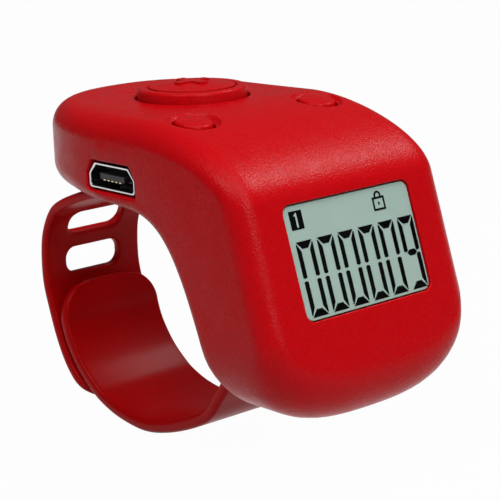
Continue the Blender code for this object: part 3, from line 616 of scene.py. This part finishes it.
def case_section(x, inset, closed):
    """Outline at a distance from the middle: back, top, shoulder, face, floor and arch."""
    from_side = half_width - inset - abs(x)
    shell = inset + edge_drop(from_side, edge_radius - inset)
    rear = rear_at(x, inset)
    floor = floor_at(x, inset)
    flat = on_face(0.0, face_flat, shell)
    chin = (face_line(shell, floor), floor)
    rounding = (chin_radius - inset) * math.sqrt(min(1.0, from_side / chin_fade))
    outline = [(y, top_at(x, y, inset)) for y in end_run(x, inset, edge_radius, shoulder_start)]
    outline += shoulder_points(x, shell)
    lower = fillet((flat.y, flat.z), chin, (arch_end_y, floor), max(least_radius, rounding))
    straight_start = Vector((flat.y, flat.z))
    outline += [tuple(straight_start.lerp(Vector(lower[0]), k / face_steps)) for k in range(1, face_steps)]
    outline += lower
    if closed:
        edge = edge_drop(from_side, arch_edge_radius)
        arch = arch_points(-edge, floor + heel_radius)
        heel = heel_corner(arch[0], arch[1], floor)
        outline += fillet(chin, heel, arch[0], heel_radius)
        outline += arch[1:]
        run = end_run(x, inset, rear_foot_radius, arch_start)
        outline += [(y, underside_at(x, y)) for y in reversed(run)]
    else:
        arch = arch_points(hollow_overrun, floor + hollow_overrun)
        outline.append((arch[0][0], floor))
        outline += arch
        outline.append((rear, arch_rise - hollow_overrun))
    return [Vector((x, y, z)) for y, z in outline]


def case_stations(half):
    """Distances from the middle: even over the flat part, closer towards the rounded side."""
    places = [(half - side_crowding) * k / span_steps for k in range(span_steps)]
    places += [half - side_crowding + side_crowding * math.sin(math.pi / 2 * k / edge_steps)
               for k in range(edge_steps + 1)]
    return [-x for x in reversed(places[1:])] + places


def case_mesh(name, inset, closed):
    stations = case_stations(half_width - inset)
    return lofted_mesh(name, [case_section(x, inset, closed) for x in stations])


def strap_sections(route, thickness, anchor_thickness, tip_length):
    """Rounded sections along a route, thicker at the anchor and rounded in width at the tip."""
    total = sum((b - a).length for a, b in zip(route, route[1:]))
    gone = 0.0
    sections = []
    for k, point in enumerate(route):
        if k:
            gone += (point - route[k - 1]).length
        along = (route[min(k + 1, len(route) - 1)] - route[max(k - 1, 0)]).normalized()
        across = Vector((0.0, -along.z, along.y))
        swell = max(0.0, min(1.0, 1.0 + (anchor_length - gone) / (anchor_length * anchor_fade_share)))
        half_thick = thickness / 2 + (anchor_thickness - thickness) / 2 * swell
        past = max(0.0, tip_length - (total - gone))
        half = strap_width / 2 - tip_length + math.sqrt(max(0.0, tip_length ** 2 - past ** 2))
        corner = min(strap_edge, half_thick * strap_edge_share)
        section = rounded_rectangle(2 * half, 2 * half_thick, corner, small_corner_steps)
        sections.append([point + Vector((a, 0.0, 0.0)) + across * b for a, b in section])
    return sections


def ring_route(shares):
    return [Vector((0.0, y * strap_reach, z * strap_drop)) for y, z in shares]


def rear_strap_route():
    level = arch_rise + cover_thickness + fit_gap + rear_anchor_thickness / 2
    anchor = [Vector((0.0, rear_anchor_y + dy * rear_anchor_drop, level + dz * rear_anchor_drop))
              for dy, dz in rear_anchor_shares]
    return smooth_route(anchor + ring_route(rear_ring_shares), strap_steps)


def front_strap_route():
    leg = Vector((0.0, arch_end_y, arch_end_z))
    anchor = [leg + Vector((0.0, dy * front_anchor_reach, dz * front_anchor_reach))
              for dy, dz in front_anchor_shares]
    return smooth_route(anchor + ring_route(front_ring_shares), strap_steps)


def shoulder_at(x, y):
    """Height and slope of the casing's top at a place on the shoulder."""
    points = shoulder_points(x, 0.0, fine_steps)
    for (y0, z0), (y1, z1) in zip(points, points[1:]):
        if y1 <= y <= y0:
            slope = (z1 - z0) / (y1 - y0)
            return z0 + (y - y0) * slope, slope
    return case_top + crown(x), 0.0


def face_screw_seat():
    """Depth from the face to the arch, at the level of the front screws."""
    points = arch_points(0.0, None, fine_steps)
    origin = on_face(0.0, -face_screw_drop, 0.0)
    for (y0, z0), (y1, z1) in zip(points, points[1:]):
        a = Vector((0.0, y0, z0)) - origin
        b = Vector((0.0, y1, z1)) - origin
        if a.dot(face_up) <= 0.0 <= b.dot(face_up):
            return -a.lerp(b, -a.dot(face_up) / (b - a).dot(face_up)).dot(face_out)
    return 0.0


def port_outline(margin):
    """The socket's mouth: a flat oblong, narrower at the top; X is along -Y of the part."""
    top = port_height / 2 + margin
    wide = port_width / 2 + margin
    narrow = port_narrow / 2 + margin
    knee = port_height * port_knee_share
    return [(-narrow, top), (-wide, knee), (-wide, -top), (wide, -top), (wide, knee), (narrow, top)]


def place_on_route(route, distance):
    """Point and turn on a route, the local Y along it and the local Z across it."""
    gone = 0.0
    for a, b in zip(route, route[1:]):
        step = (b - a).length
        if gone + step >= distance:
            along = (b - a).normalized()
            return a.lerp(b, (distance - gone) / step), (math.atan2(along.z, along.y), 0.0, 0.0)
        gone += step
    return route[-1], (0.0, 0.0, 0.0)


# Pieces and cuts

def finished(name, mesh, body, material, node=None):
    """A scene piece: smooth shaded, riding on a body, in one material, standing for a node."""
    mesh.name = name
    piece = bpy.data.objects.new(name, mesh)
    bpy.context.scene.collection.objects.link(piece)
    mesh.shade_smooth()
    mesh.set_sharp_from_angle(angle=smooth_angle)
    mesh.materials.clear()
    mesh.materials.append(material)
    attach(piece, body)
    if node:
        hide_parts(node)
    return piece


def carve(mesh, cutters):
    """The mesh after a row of cuts or unions, each given as mesh, place, turn and operation."""
    holder = bpy.data.objects.new("carving", mesh)
    bpy.context.scene.collection.objects.link(holder)
    tools = []
    for cutter, place, turn, operation in cutters:
        tool = bpy.data.objects.new("tool", cutter)
        bpy.context.scene.collection.objects.link(tool)
        tool.location = place
        tool.rotation_euler = turn
        step = holder.modifiers.new("step", "BOOLEAN")
        step.operation = operation
        step.solver = "EXACT"
        step.object = tool
        tools.append(tool)
    bpy.context.view_layer.update()
    result = bpy.data.meshes.new_from_object(holder.evaluated_get(bpy.context.evaluated_depsgraph_get()))
    for item in tools + [holder]:
        bpy.data.objects.remove(item, do_unlink=True)
    return result


def lipped_cutter(name, outline, deep, lip):
    """A cutter whose mouth opens in a quarter round; its Z points out of the surface at zero."""
    levels = [(-deep, 0.0)]
    for k in range(lip_steps + 1):
        turn = math.pi / 2 * k / lip_steps
        levels.append((lip * math.sin(turn) - lip, lip - lip * math.cos(turn)))
    levels.append((overrun, lip))
    return lofted_mesh(name, [[Vector((x, y, z)) for x, y in outline(margin)] for z, margin in levels])


def circle(radius, facets=circle_sides):
    turns = [math.tau * k / facets for k in range(facets)]
    return [(radius * math.cos(turn), radius * math.sin(turn)) for turn in turns]


def rounded_outline(corners, radius, steps=corner_steps):
    """A closed outline with each corner rounded, walked the way it is given."""
    outline = []
    for k, corner in enumerate(corners):
        after = corners[(k + 1) % len(corners)]
        outline += fillet(corners[k - 1], corner, after, radius, steps)
    return outline


# Materials

def new_shader(name, colour, roughness, metallic=0.0, specular=plain_gloss):
    material = bpy.data.materials.new(name)
    material.use_nodes = True
    nodes = material.node_tree.nodes
    shader = nodes["Principled BSDF"]
    shader.inputs["Base Color"].default_value = (*colour, 1.0)
    shader.inputs["Roughness"].default_value = roughness
    shader.inputs["Metallic"].default_value = metallic
    shader.inputs["Specular IOR Level"].default_value = specular
    return material, nodes, material.node_tree.links, shader


def noise(nodes, links, grain):
    """A noise whose features are about as large as the grain, in metres."""
    place = nodes.new("ShaderNodeTexCoord")
    texture = nodes.new("ShaderNodeTexNoise")
    texture.inputs["Scale"].default_value = 1.0 / grain
    texture.inputs["Detail"].default_value = noise_detail
    links.new(place.outputs["Object"], texture.inputs["Vector"])
    return texture.outputs["Fac"]


def ramp(nodes, links, value, low, high):
    """A colour or grey that runs between two ends as a value runs between two places."""
    node = nodes.new("ShaderNodeValToRGB")
    node.color_ramp.elements[0].position = ramp_low
    node.color_ramp.elements[1].position = ramp_high
    node.color_ramp.elements[0].color = (*low, 1.0)
    node.color_ramp.elements[1].color = (*high, 1.0)
    links.new(value, node.inputs["Fac"])
    return node.outputs["Color"]


def bump(nodes, links, shader, value, height, strength):
    node = nodes.new("ShaderNodeBump")
    node.inputs["Distance"].default_value = height
    node.inputs["Strength"].default_value = strength
    links.new(value, node.inputs["Height"])
    links.new(node.outputs["Normal"], shader.inputs["Normal"])


def textured(name, colour, roughness, grain, depth, spread, metallic, polish, specular):
    """A moulded surface: grain in the bump, slight changes of colour and of roughness."""
    material, nodes, links, shader = new_shader(name, colour, roughness, metallic, specular)
    fine = noise(nodes, links, grain)
    broad = noise(nodes, links, grain * broad_share)
    low = [c * (1 - spread) for c in colour]
    high = [min(1.0, c * (1 + spread)) for c in colour]
    links.new(ramp(nodes, links, fine, low, high), shader.inputs["Base Color"])
    dull = [roughness + polish] * 3
    bright = [max(0.0, roughness - polish)] * 3
    links.new(ramp(nodes, links, broad, dull, bright), shader.inputs["Roughness"])
    bump(nodes, links, shader, fine, depth, grain_strength)
    return material


def make_materials():
    """One material for each kind of surface."""
    table = {kind: textured(*values) for kind, values in surfaces.items()}
    clear = table["clear"].node_tree.nodes["Principled BSDF"]
    clear.inputs["Alpha"].default_value = lens_alpha
    return table


# Pieces

def screw_steps():
    """The casing's screw bosses, and then the bores in them."""
    roof = case_top - case_wall
    seat = face_screw_seat()
    rear_height = roof - (arch_rise + cover_thickness + fit_gap) + overrun
    face_height = seat - cover_thickness - fit_gap - case_wall + overrun
    steps = []
    for side in (-1, 1):
        rear_place = (side * rear_screw_x, rear_screw_y, roof + overrun - rear_height / 2)
        steps.append((disc_mesh("boss", boss_radius, rear_height), rear_place, no_turn, "UNION"))
        face_place = on_face(side * face_screw_x, -face_screw_drop, case_wall - overrun + face_height / 2)
        steps.append((disc_mesh("boss", boss_radius, face_height), face_place, face_turn, "UNION"))
    middle = seat - cover_thickness - bore_depth / 2
    for side in (-1, 1):
        rear_place = (side * rear_screw_x, rear_screw_y, arch_rise + cover_thickness + bore_depth / 2)
        face_place = on_face(side * face_screw_x, -face_screw_drop, middle)
        for place, turn in ((rear_place, no_turn), (face_place, face_turn)):
            bore = disc_mesh("bore", screw_shank + thread_gap, bore_depth)
            steps.append((bore, place, turn, "DIFFERENCE"))
    return steps


def window_outline(margin):
    return rounded_rectangle(window_width + 2 * margin, window_height + 2 * margin, window_radius + margin)


def socket_outline(margin):
    return rounded_outline(port_outline(margin), port_corner)


def opening_steps():
    """The casing's openings with soft lips: window, button hole, key holes and socket mouth."""
    window = lipped_cutter("window", window_outline, 2 * case_wall, window_lip)
    hole = lipped_cutter("hole", lambda margin: circle(count_radius + fit_gap + margin), cut_depth, hole_lip)
    seat = disc_mesh("seat", count_radius + count_flange + fit_gap, case_wall, circle_sides)
    seat_level = case_top - case_wall + top_crown - case_wall / 2
    steps = [(window, on_face(0.0, 0.0, 0.0), face_turn, "DIFFERENCE"),
             (hole, (0.0, count_y, case_top + top_crown), no_turn, "DIFFERENCE"),
             (seat, (0.0, count_y, seat_level), no_turn, "DIFFERENCE")]
    surface, slope = shoulder_at(key_x, key_y)
    height = case_wall + overrun
    level = surface - key_seat_depth + key_flange_height - height / 2
    for side in (-1, 1):
        steps.append((key_cutter(slope), (side * key_x, key_y, surface), no_turn, "DIFFERENCE"))
        seat = disc_mesh("seat", key_radius + fit_gap + key_flange, height, circle_sides)
        steps.append((seat, (side * key_x, key_y, level), no_turn, "DIFFERENCE"))
    mouth = lipped_cutter("mouth", lambda margin: socket_outline(port_margin + margin), 2 * case_wall,
                          port_lip)
    steps.append((mouth, (-half_width, port_y, port_z), port_turn, "DIFFERENCE"))
    return steps


def make_case():
    """The casing: the outer form, its hollow, the screw bosses and the openings."""
    hollow = case_mesh("hollow", case_wall, False)
    steps = [(hollow, (0.0, 0.0, 0.0), no_turn, "DIFFERENCE")] + screw_steps() + opening_steps()
    mesh = carve(case_mesh("casing", 0.0, True), steps)
    finished("casing", mesh, "root", materials["case"], "case")


def key_cutter(slope):
    """A key's upright hole with a shallow dish above it that follows the shoulder's slope."""
    hole = key_radius + fit_gap
    levels = [(-cut_depth / 2, hole, 0.0)]
    for k in range(dish_steps + 1):
        share = k / dish_steps
        rise = key_dish_depth * (share ** dish_power - 1)
        levels.append((rise, hole + (key_dish_radius - hole) * share, slope))
    levels.append((key_dish_depth, key_dish_radius + key_dish_depth, slope))
    return lofted_mesh("key_cut", [[Vector((x, y, z + y * tilt)) for x, y in circle(radius)]
                                   for z, radius, tilt in levels])


def arc(x, z, radius, start, end, steps=edge_arc_steps):
    """Points of a profile's rounded edge, angles in quarter turns from outward towards up."""
    turns = [math.pi / 2 * (start + (end - start) * k / steps) for k in range(steps + 1)]
    return [(x + radius * math.cos(turn), z + radius * math.sin(turn)) for turn in turns]


def make_count_button():
    """The big button: a domed middle with a raised plus, a groove and a rounded rim."""
    top = case_top + top_crown + count_rise
    base = case_top + top_crown - case_wall - fit_gap - count_flange_height
    inner = count_radius - count_rim
    dome = count_dome - plus_height / 2
    profile = [(0.0, top + dome)]
    for k in range(1, dome_steps + 1):
        reach = (inner - count_groove) * k / dome_steps
        profile.append((reach, top + dome * (1 - (reach / inner) ** 2)))
    profile += arc(inner - count_groove / 2, top - count_groove / 2, count_groove / 2, -2.0, 0.0)
    profile += arc(inner + groove_edge, top - groove_edge, groove_edge, 2.0, 1.0)
    profile += arc(count_radius - rim_edge, top - rim_edge, rim_edge, 1.0, 0.0)
    low = base + count_flange_height
    ceiling = top - count_skin
    plunger_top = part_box("count_plunger")[1][2]
    profile += [(count_radius, low), (count_radius + count_flange, low), (count_radius + count_flange, base),
                (count_hollow, base), (count_hollow, ceiling), (count_boss_radius, ceiling),
                (count_boss_radius, plunger_top + fit_gap), (0.0, plunger_top + fit_gap)]
    mesh = turned_mesh("button", profile, circle_sides)
    bar = rounded_rectangle(plus_length, plus_width, plus_corner)
    steps = []
    for turn in (0.0, math.pi / 2):
        arm = plate_mesh("bar", bar, plus_height)
        steps.append((arm, (0.0, 0.0, top + dome), (0.0, 0.0, turn), "UNION"))
    mesh = carve(mesh, steps)
    mesh.transform(Matrix.Translation((0.0, count_y, 0.0)))
    finished("count_cap", mesh, "count_button", materials["button"], "count_button")


def make_keys():
    """The two small keys, crowned, with tops that follow the slope of the shoulder."""
    surface, slope = shoulder_at(key_x, key_y)
    flange_top = surface - key_seat_depth + key_flange_height - fit_gap
    for side, name in ((-1, "reset"), (1, "lock")):
        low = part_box(name + "_plunger")[1][2] + fit_gap
        profile = [(0.0, surface + key_crown),
                   ((key_radius - key_edge) / 2, surface + key_crown * crown_share)]
        profile += arc(key_radius - key_edge, surface - key_edge, key_edge, 1.0, 0.0)
        profile += [(key_radius, flange_top), (key_radius + key_flange, flange_top),
                    (key_radius + key_flange, flange_top - key_flange_height),
                    (key_radius, flange_top - key_flange_height), (key_radius, low), (0.0, low)]
        mesh = turned_mesh("key", profile, circle_sides)
        for vertex in mesh.vertices:
            if vertex.co.z > flange_top + key_edge:
                vertex.co.z += vertex.co.y * slope
        mesh.transform(Matrix.Translation((side * key_x, key_y, 0.0)))
        finished(name + "_key", mesh, name + "_button", materials["button"],
                 name + "_button")


def face_plate(name, outline, depth, thickness, material, node=None, shift=(0.0, 0.0)):
    """A plate behind the face, from a depth inward."""
    mesh = plate_mesh(name, outline, thickness)
    place = on_face(shift[0], shift[1], depth + thickness / 2)
    mesh.transform(Matrix.Translation(place) @ Matrix.Rotation(face_turn[0], 4, "X"))
    return finished(name, mesh, "root", materials[material], node)


def make_window():
    """The clear sheet in the window and the display's face behind it."""
    width = window_width - 2 * lens_side_gap
    height = window_height - 2 * lens_side_gap
    outline = rounded_rectangle(width, height, window_radius - lens_side_gap)
    face_plate("window_sheet", outline, lens_inset, sheet_thickness, "clear", "display_lens")
    face_plate("display_face", outline, panel_depth, panel_thickness, "panel")


def segment_outlines(x, lit):
    """Outlines of the lit bars of one seven-segment digit whose left side is at x."""
    left, right = x, x + digit_width
    top, bottom = digit_top, digit_top - digit_height
    middle = (top + bottom) / 2
    stroke, bar, split = digit_stroke, digit_bar, digit_split
    upright = [(left, top - split), (left, middle + split), (left + stroke / 2, middle + split / 2),
               (left + stroke, middle + split), (left + stroke, top - bar - split),
               (left + split / 2, top - split)]

    def mirrored(points, across, along):
        return [(left + right - a if across else a, top + bottom - b if along else b) for a, b in points]

    flat = [(left + digit_corner, top), (right - digit_corner, top), (right - bar, top - bar),
            (left + bar, top - bar)]
    half = dash_height / 2
    dash = [(left + dash_inset, middle), (left + dash_inset + half, middle + half),
            (right - dash_inset - half, middle + half), (right - dash_inset, middle),
            (right - dash_inset - half, middle - half), (left + dash_inset + half, middle - half)]
    shapes = {"top": flat, "bottom": mirrored(flat, False, True), "middle": dash,
              "upper_left": upright, "upper_right": mirrored(upright, True, False),
              "lower_left": mirrored(upright, False, True), "lower_right": mirrored(upright, True, True)}
    return [(name, shapes[name]) for name in lit]


def make_digits():
    """Five noughts and a nine, as plates on the display's face."""
    nought = ("top", "bottom", "upper_left", "upper_right", "lower_left", "lower_right")
    nine = ("top", "bottom", "middle", "upper_left", "upper_right", "lower_right")
    for k in range(digit_count):
        lit = nine if k == digit_count - 1 else nought
        for name, outline in segment_outlines(digit_left + k * digit_pitch, lit):
            face_plate("digit_%d_%s" % (k + 1, name), outline, panel_depth - ink_thickness, ink_thickness,
                       "segment")


def make_icons():
    """A black box with a pale figure one, and a padlock."""
    depth = panel_depth - ink_thickness
    face_plate("number_box", rounded_rectangle(box_width, box_height, box_corner), depth, ink_thickness,
               "segment", None, (box_x, box_up))
    one = [(-one_stroke / 2, -one_height / 2), (one_stroke / 2, -one_height / 2),
           (one_stroke / 2, one_height / 2), (0.0, one_height / 2),
           (-one_flag, one_height / 2 - one_flag), (-one_stroke / 2, one_height / 2 - one_flag)]
    face_plate("number_one", one, depth - ink_thickness, ink_thickness, "panel", None,
               (box_x, box_up))
    half = lock_width / 2
    low = lock_up - lock_height / 2
    rims = [("left", ink_line, lock_height, -half, 0.0), ("right", ink_line, lock_height, half, 0.0),
            ("top", lock_width + ink_line, ink_line, 0.0, lock_height / 2),
            ("bottom", lock_width + ink_line, ink_line, 0.0, -lock_height / 2),
            ("keyhole", keyhole_width, keyhole_height, 0.0, 0.0)]
    for name, width, height, x, up in rims:
        face_plate("padlock_" + name, rounded_rectangle(width, height, lock_corner), depth, ink_thickness,
                   "segment", None, (lock_x + x, lock_up + up))
    foot = low + lock_height
    rise = foot + shackle_leg
    turns = [math.pi * k / arch_arc_steps for k in range(arch_arc_steps + 1)]
    rings = [[(lock_x + radius * math.cos(turn), rise + radius * math.sin(turn)) for turn in turns]
             for radius in (shackle_radius, shackle_radius - ink_line)]
    outer, inner = rings
    band = ([(outer[0][0], foot)] + outer + [(outer[-1][0], foot), (inner[-1][0], foot)] + inner[::-1]
            + [(inner[0][0], foot)])
    face_plate("padlock_shackle", band, depth, ink_thickness, "segment")


def make_port():
    """The socket's plated shell, and the contacts under its tongue."""
    mouth_x = port_inset - half_width
    middle = mouth_x + port_depth / 2
    outer = plate_mesh("shell", socket_outline(0.0), port_depth)
    bore = lipped_cutter("bore", lambda margin: socket_outline(margin - port_rim), port_depth - port_back,
                         port_skin_lip)
    shell = carve(outer, [(bore, (0.0, 0.0, port_depth / 2), no_turn, "DIFFERENCE")])
    turn = Matrix.Rotation(port_turn[2], 4, "Z") @ Matrix.Rotation(port_turn[0], 4, "X")
    shell.transform(Matrix.Translation((middle, port_y, port_z)) @ turn)
    finished("socket_shell", shell, "root", materials["nickel"], "port_shell")
    back = mouth_x + port_depth - port_back - fit_gap
    front = back - tongue_reach
    for k in range(contact_count):
        y = port_y + (k - (contact_count - 1) / 2) * contact_pitch
        strip = box_mesh("contact", tongue_reach - tongue_base, contact_strip_width, contact_strip_height)
        strip.transform(Matrix.Translation((front + (tongue_reach - tongue_base) / 2, y,
                                            port_z - tongue_thickness / 2 - contact_strip_height / 2)))
        finished("socket_contact_%d" % (k + 1), strip, "root", materials["gold"])


def make_straps():
    """Both straps at a finer pitch, with rounded edges, slots and the stud."""
    route = rear_strap_route()
    sections = strap_sections(route, rear_strap_thickness, rear_anchor_thickness, strap_tip_radius)
    steps = []
    for k in range(slot_count):
        centre, turn = place_on_route(route, slot_start + k * slot_pitch)
        steps.append((slot_cutter(), centre, turn, "DIFFERENCE"))
    finished("slotted_strap", carve(lofted_mesh("strap", sections), steps), "root",
             materials["strap"], "rear_strap")
    route = front_strap_route()
    sections = strap_sections(route, front_strap_thickness, front_anchor_thickness, strap_tip_radius)
    centre, turn = place_on_route(rear_strap_route(), slot_start + (stud_slot - 1) * slot_pitch)
    out = Vector((0.0, -math.sin(turn[0]), math.cos(turn[0])))
    depth = min((point - centre).length for point in route)
    head_low = rear_strap_thickness / 2 + fit_gap
    height = depth + head_low + stud_head_thickness / 2
    neck = plate_mesh("neck", rounded_rectangle(stud_neck_length, stud_neck_width, stud_neck_corner), height)
    head = plate_mesh("head", rounded_rectangle(stud_head_length, stud_head_width, stud_head_radius),
                      stud_head_thickness)
    steps = [(neck, centre + out * (height / 2 - depth), turn, "UNION"),
             (head, centre + out * (head_low + stud_head_thickness / 2), turn, "UNION")]
    finished("stud_strap", carve(lofted_mesh("strap", sections), steps), "root",
             materials["strap"], "front_strap")


def slot_outline(margin):
    return rounded_rectangle(slot_length + 2 * margin, slot_width + 2 * margin, slot_radius + margin)


def slot_cutter():
    """A slot's cutter with rounded lips on both sides of the strap."""
    levels = []
    half = rear_strap_thickness / 2
    for k in range(lip_steps + 1):
        turn = math.pi / 2 * k / lip_steps
        levels.append((half - slot_lip + slot_lip * math.sin(turn), slot_lip - slot_lip * math.cos(turn)))
    levels.append((half + overrun, slot_lip))
    levels = [(-z, margin) for z, margin in levels[::-1]] + levels
    return lofted_mesh("slot", [[Vector((x, y, z)) for x, y in slot_outline(margin)]
                                for z, margin in levels])


def dress_nodes():
    """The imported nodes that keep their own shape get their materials."""
    kinds = {"inner_cover": "cover", "display_glass": "panel", "display_light": "white",
             "display_contact": "rubber", "display_board": "board", "main_board": "board",
             "board_ribbon": "film", "battery": "foil", "control_chip": "black", "port_tongue": "black"}
    for name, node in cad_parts.items():
        kind = kinds.get(name, "steel" if name.startswith("cover_screw") else "black")
        node.data.materials.clear()
        node.data.materials.append(materials[kind])


# Light, floor and camera

def add_lamp(name, place, width, height, power):
    lamp = bpy.data.lights.new(name, "AREA")
    lamp.shape = "RECTANGLE"
    lamp.size = width
    lamp.size_y = height
    lamp.energy = power
    holder = bpy.data.objects.new(name, lamp)
    bpy.context.scene.collection.objects.link(holder)
    holder.location = place
    holder.rotation_euler = (lamp_aim - Vector(place)).to_track_quat("-Z", "Y").to_euler()


def seen_directly(nodes, links):
    """One where a ray comes from the camera, a reflection or a refraction, else zero."""
    path = nodes.new("ShaderNodeLightPath")
    total = path.outputs["Is Camera Ray"]
    for kind in ("Is Glossy Ray", "Is Transmission Ray"):
        node = nodes.new("ShaderNodeMath")
        node.operation = "MAXIMUM"
        links.new(total, node.inputs[0])
        links.new(path.outputs[kind], node.inputs[1])
        total = node.outputs[0]
    return total


def make_world():
    """An even, dim light from all sides."""
    world = bpy.data.worlds.new("studio")
    bpy.context.scene.world = world
    world.use_nodes = True
    ambient = world.node_tree.nodes["Background"]
    ambient.inputs["Color"].default_value = (*ambient_colour, 1.0)
    ambient.inputs["Strength"].default_value = ambient_strength


def make_floor():
    """A pale floor under the ring that keeps the object's soft shadow."""
    low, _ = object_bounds()
    floor = bpy.data.objects.new("floor", plate_mesh("floor", circle(floor_radius), fit_gap))
    bpy.context.scene.collection.objects.link(floor)
    floor.location = (0.0, 0.0, low[2] - fit_gap)
    material, nodes, links, shader = new_shader("floor_white", floor_colour, floor_roughness)
    glow = nodes.new("ShaderNodeEmission")
    glow.inputs["Color"].default_value = (*backdrop_colour, 1.0)
    mix = nodes.new("ShaderNodeMixShader")
    share = nodes.new("ShaderNodeMath")
    share.operation = "MULTIPLY"
    share.inputs[1].default_value = floor_glow_share
    links.new(seen_directly(nodes, links), share.inputs[0])
    links.new(share.outputs[0], mix.inputs[0])
    links.new(shader.outputs[0], mix.inputs[1])
    links.new(glow.outputs[0], mix.inputs[2])
    links.new(mix.outputs[0], nodes["Material Output"].inputs["Surface"])
    floor.data.materials.append(material)


def make_camera():
    camera = bpy.data.cameras.new("camera")
    camera.lens = camera_lens
    camera.sensor_width = camera_sensor
    camera.clip_start = camera_near
    camera.clip_end = camera_far
    holder = bpy.data.objects.new("camera", camera)
    bpy.context.scene.collection.objects.link(holder)
    back = camera_back.normalized()
    up = (camera_up - back * camera_up.dot(back)).normalized()
    right = up.cross(back)
    turn = Matrix((right, up, back)).transposed().to_4x4()
    holder.matrix_world = Matrix.Translation(camera_place) @ turn
    bpy.context.scene.camera = holder


materials = make_materials()
make_camera()
dress_nodes()
make_case()
make_count_button()
make_keys()
make_window()
make_digits()
make_icons()
make_port()
make_straps()
make_world()
make_floor()
for lamp_values in lamps:
    add_lamp(*lamp_values)
bpy.context.scene.view_settings.view_transform = "Standard"
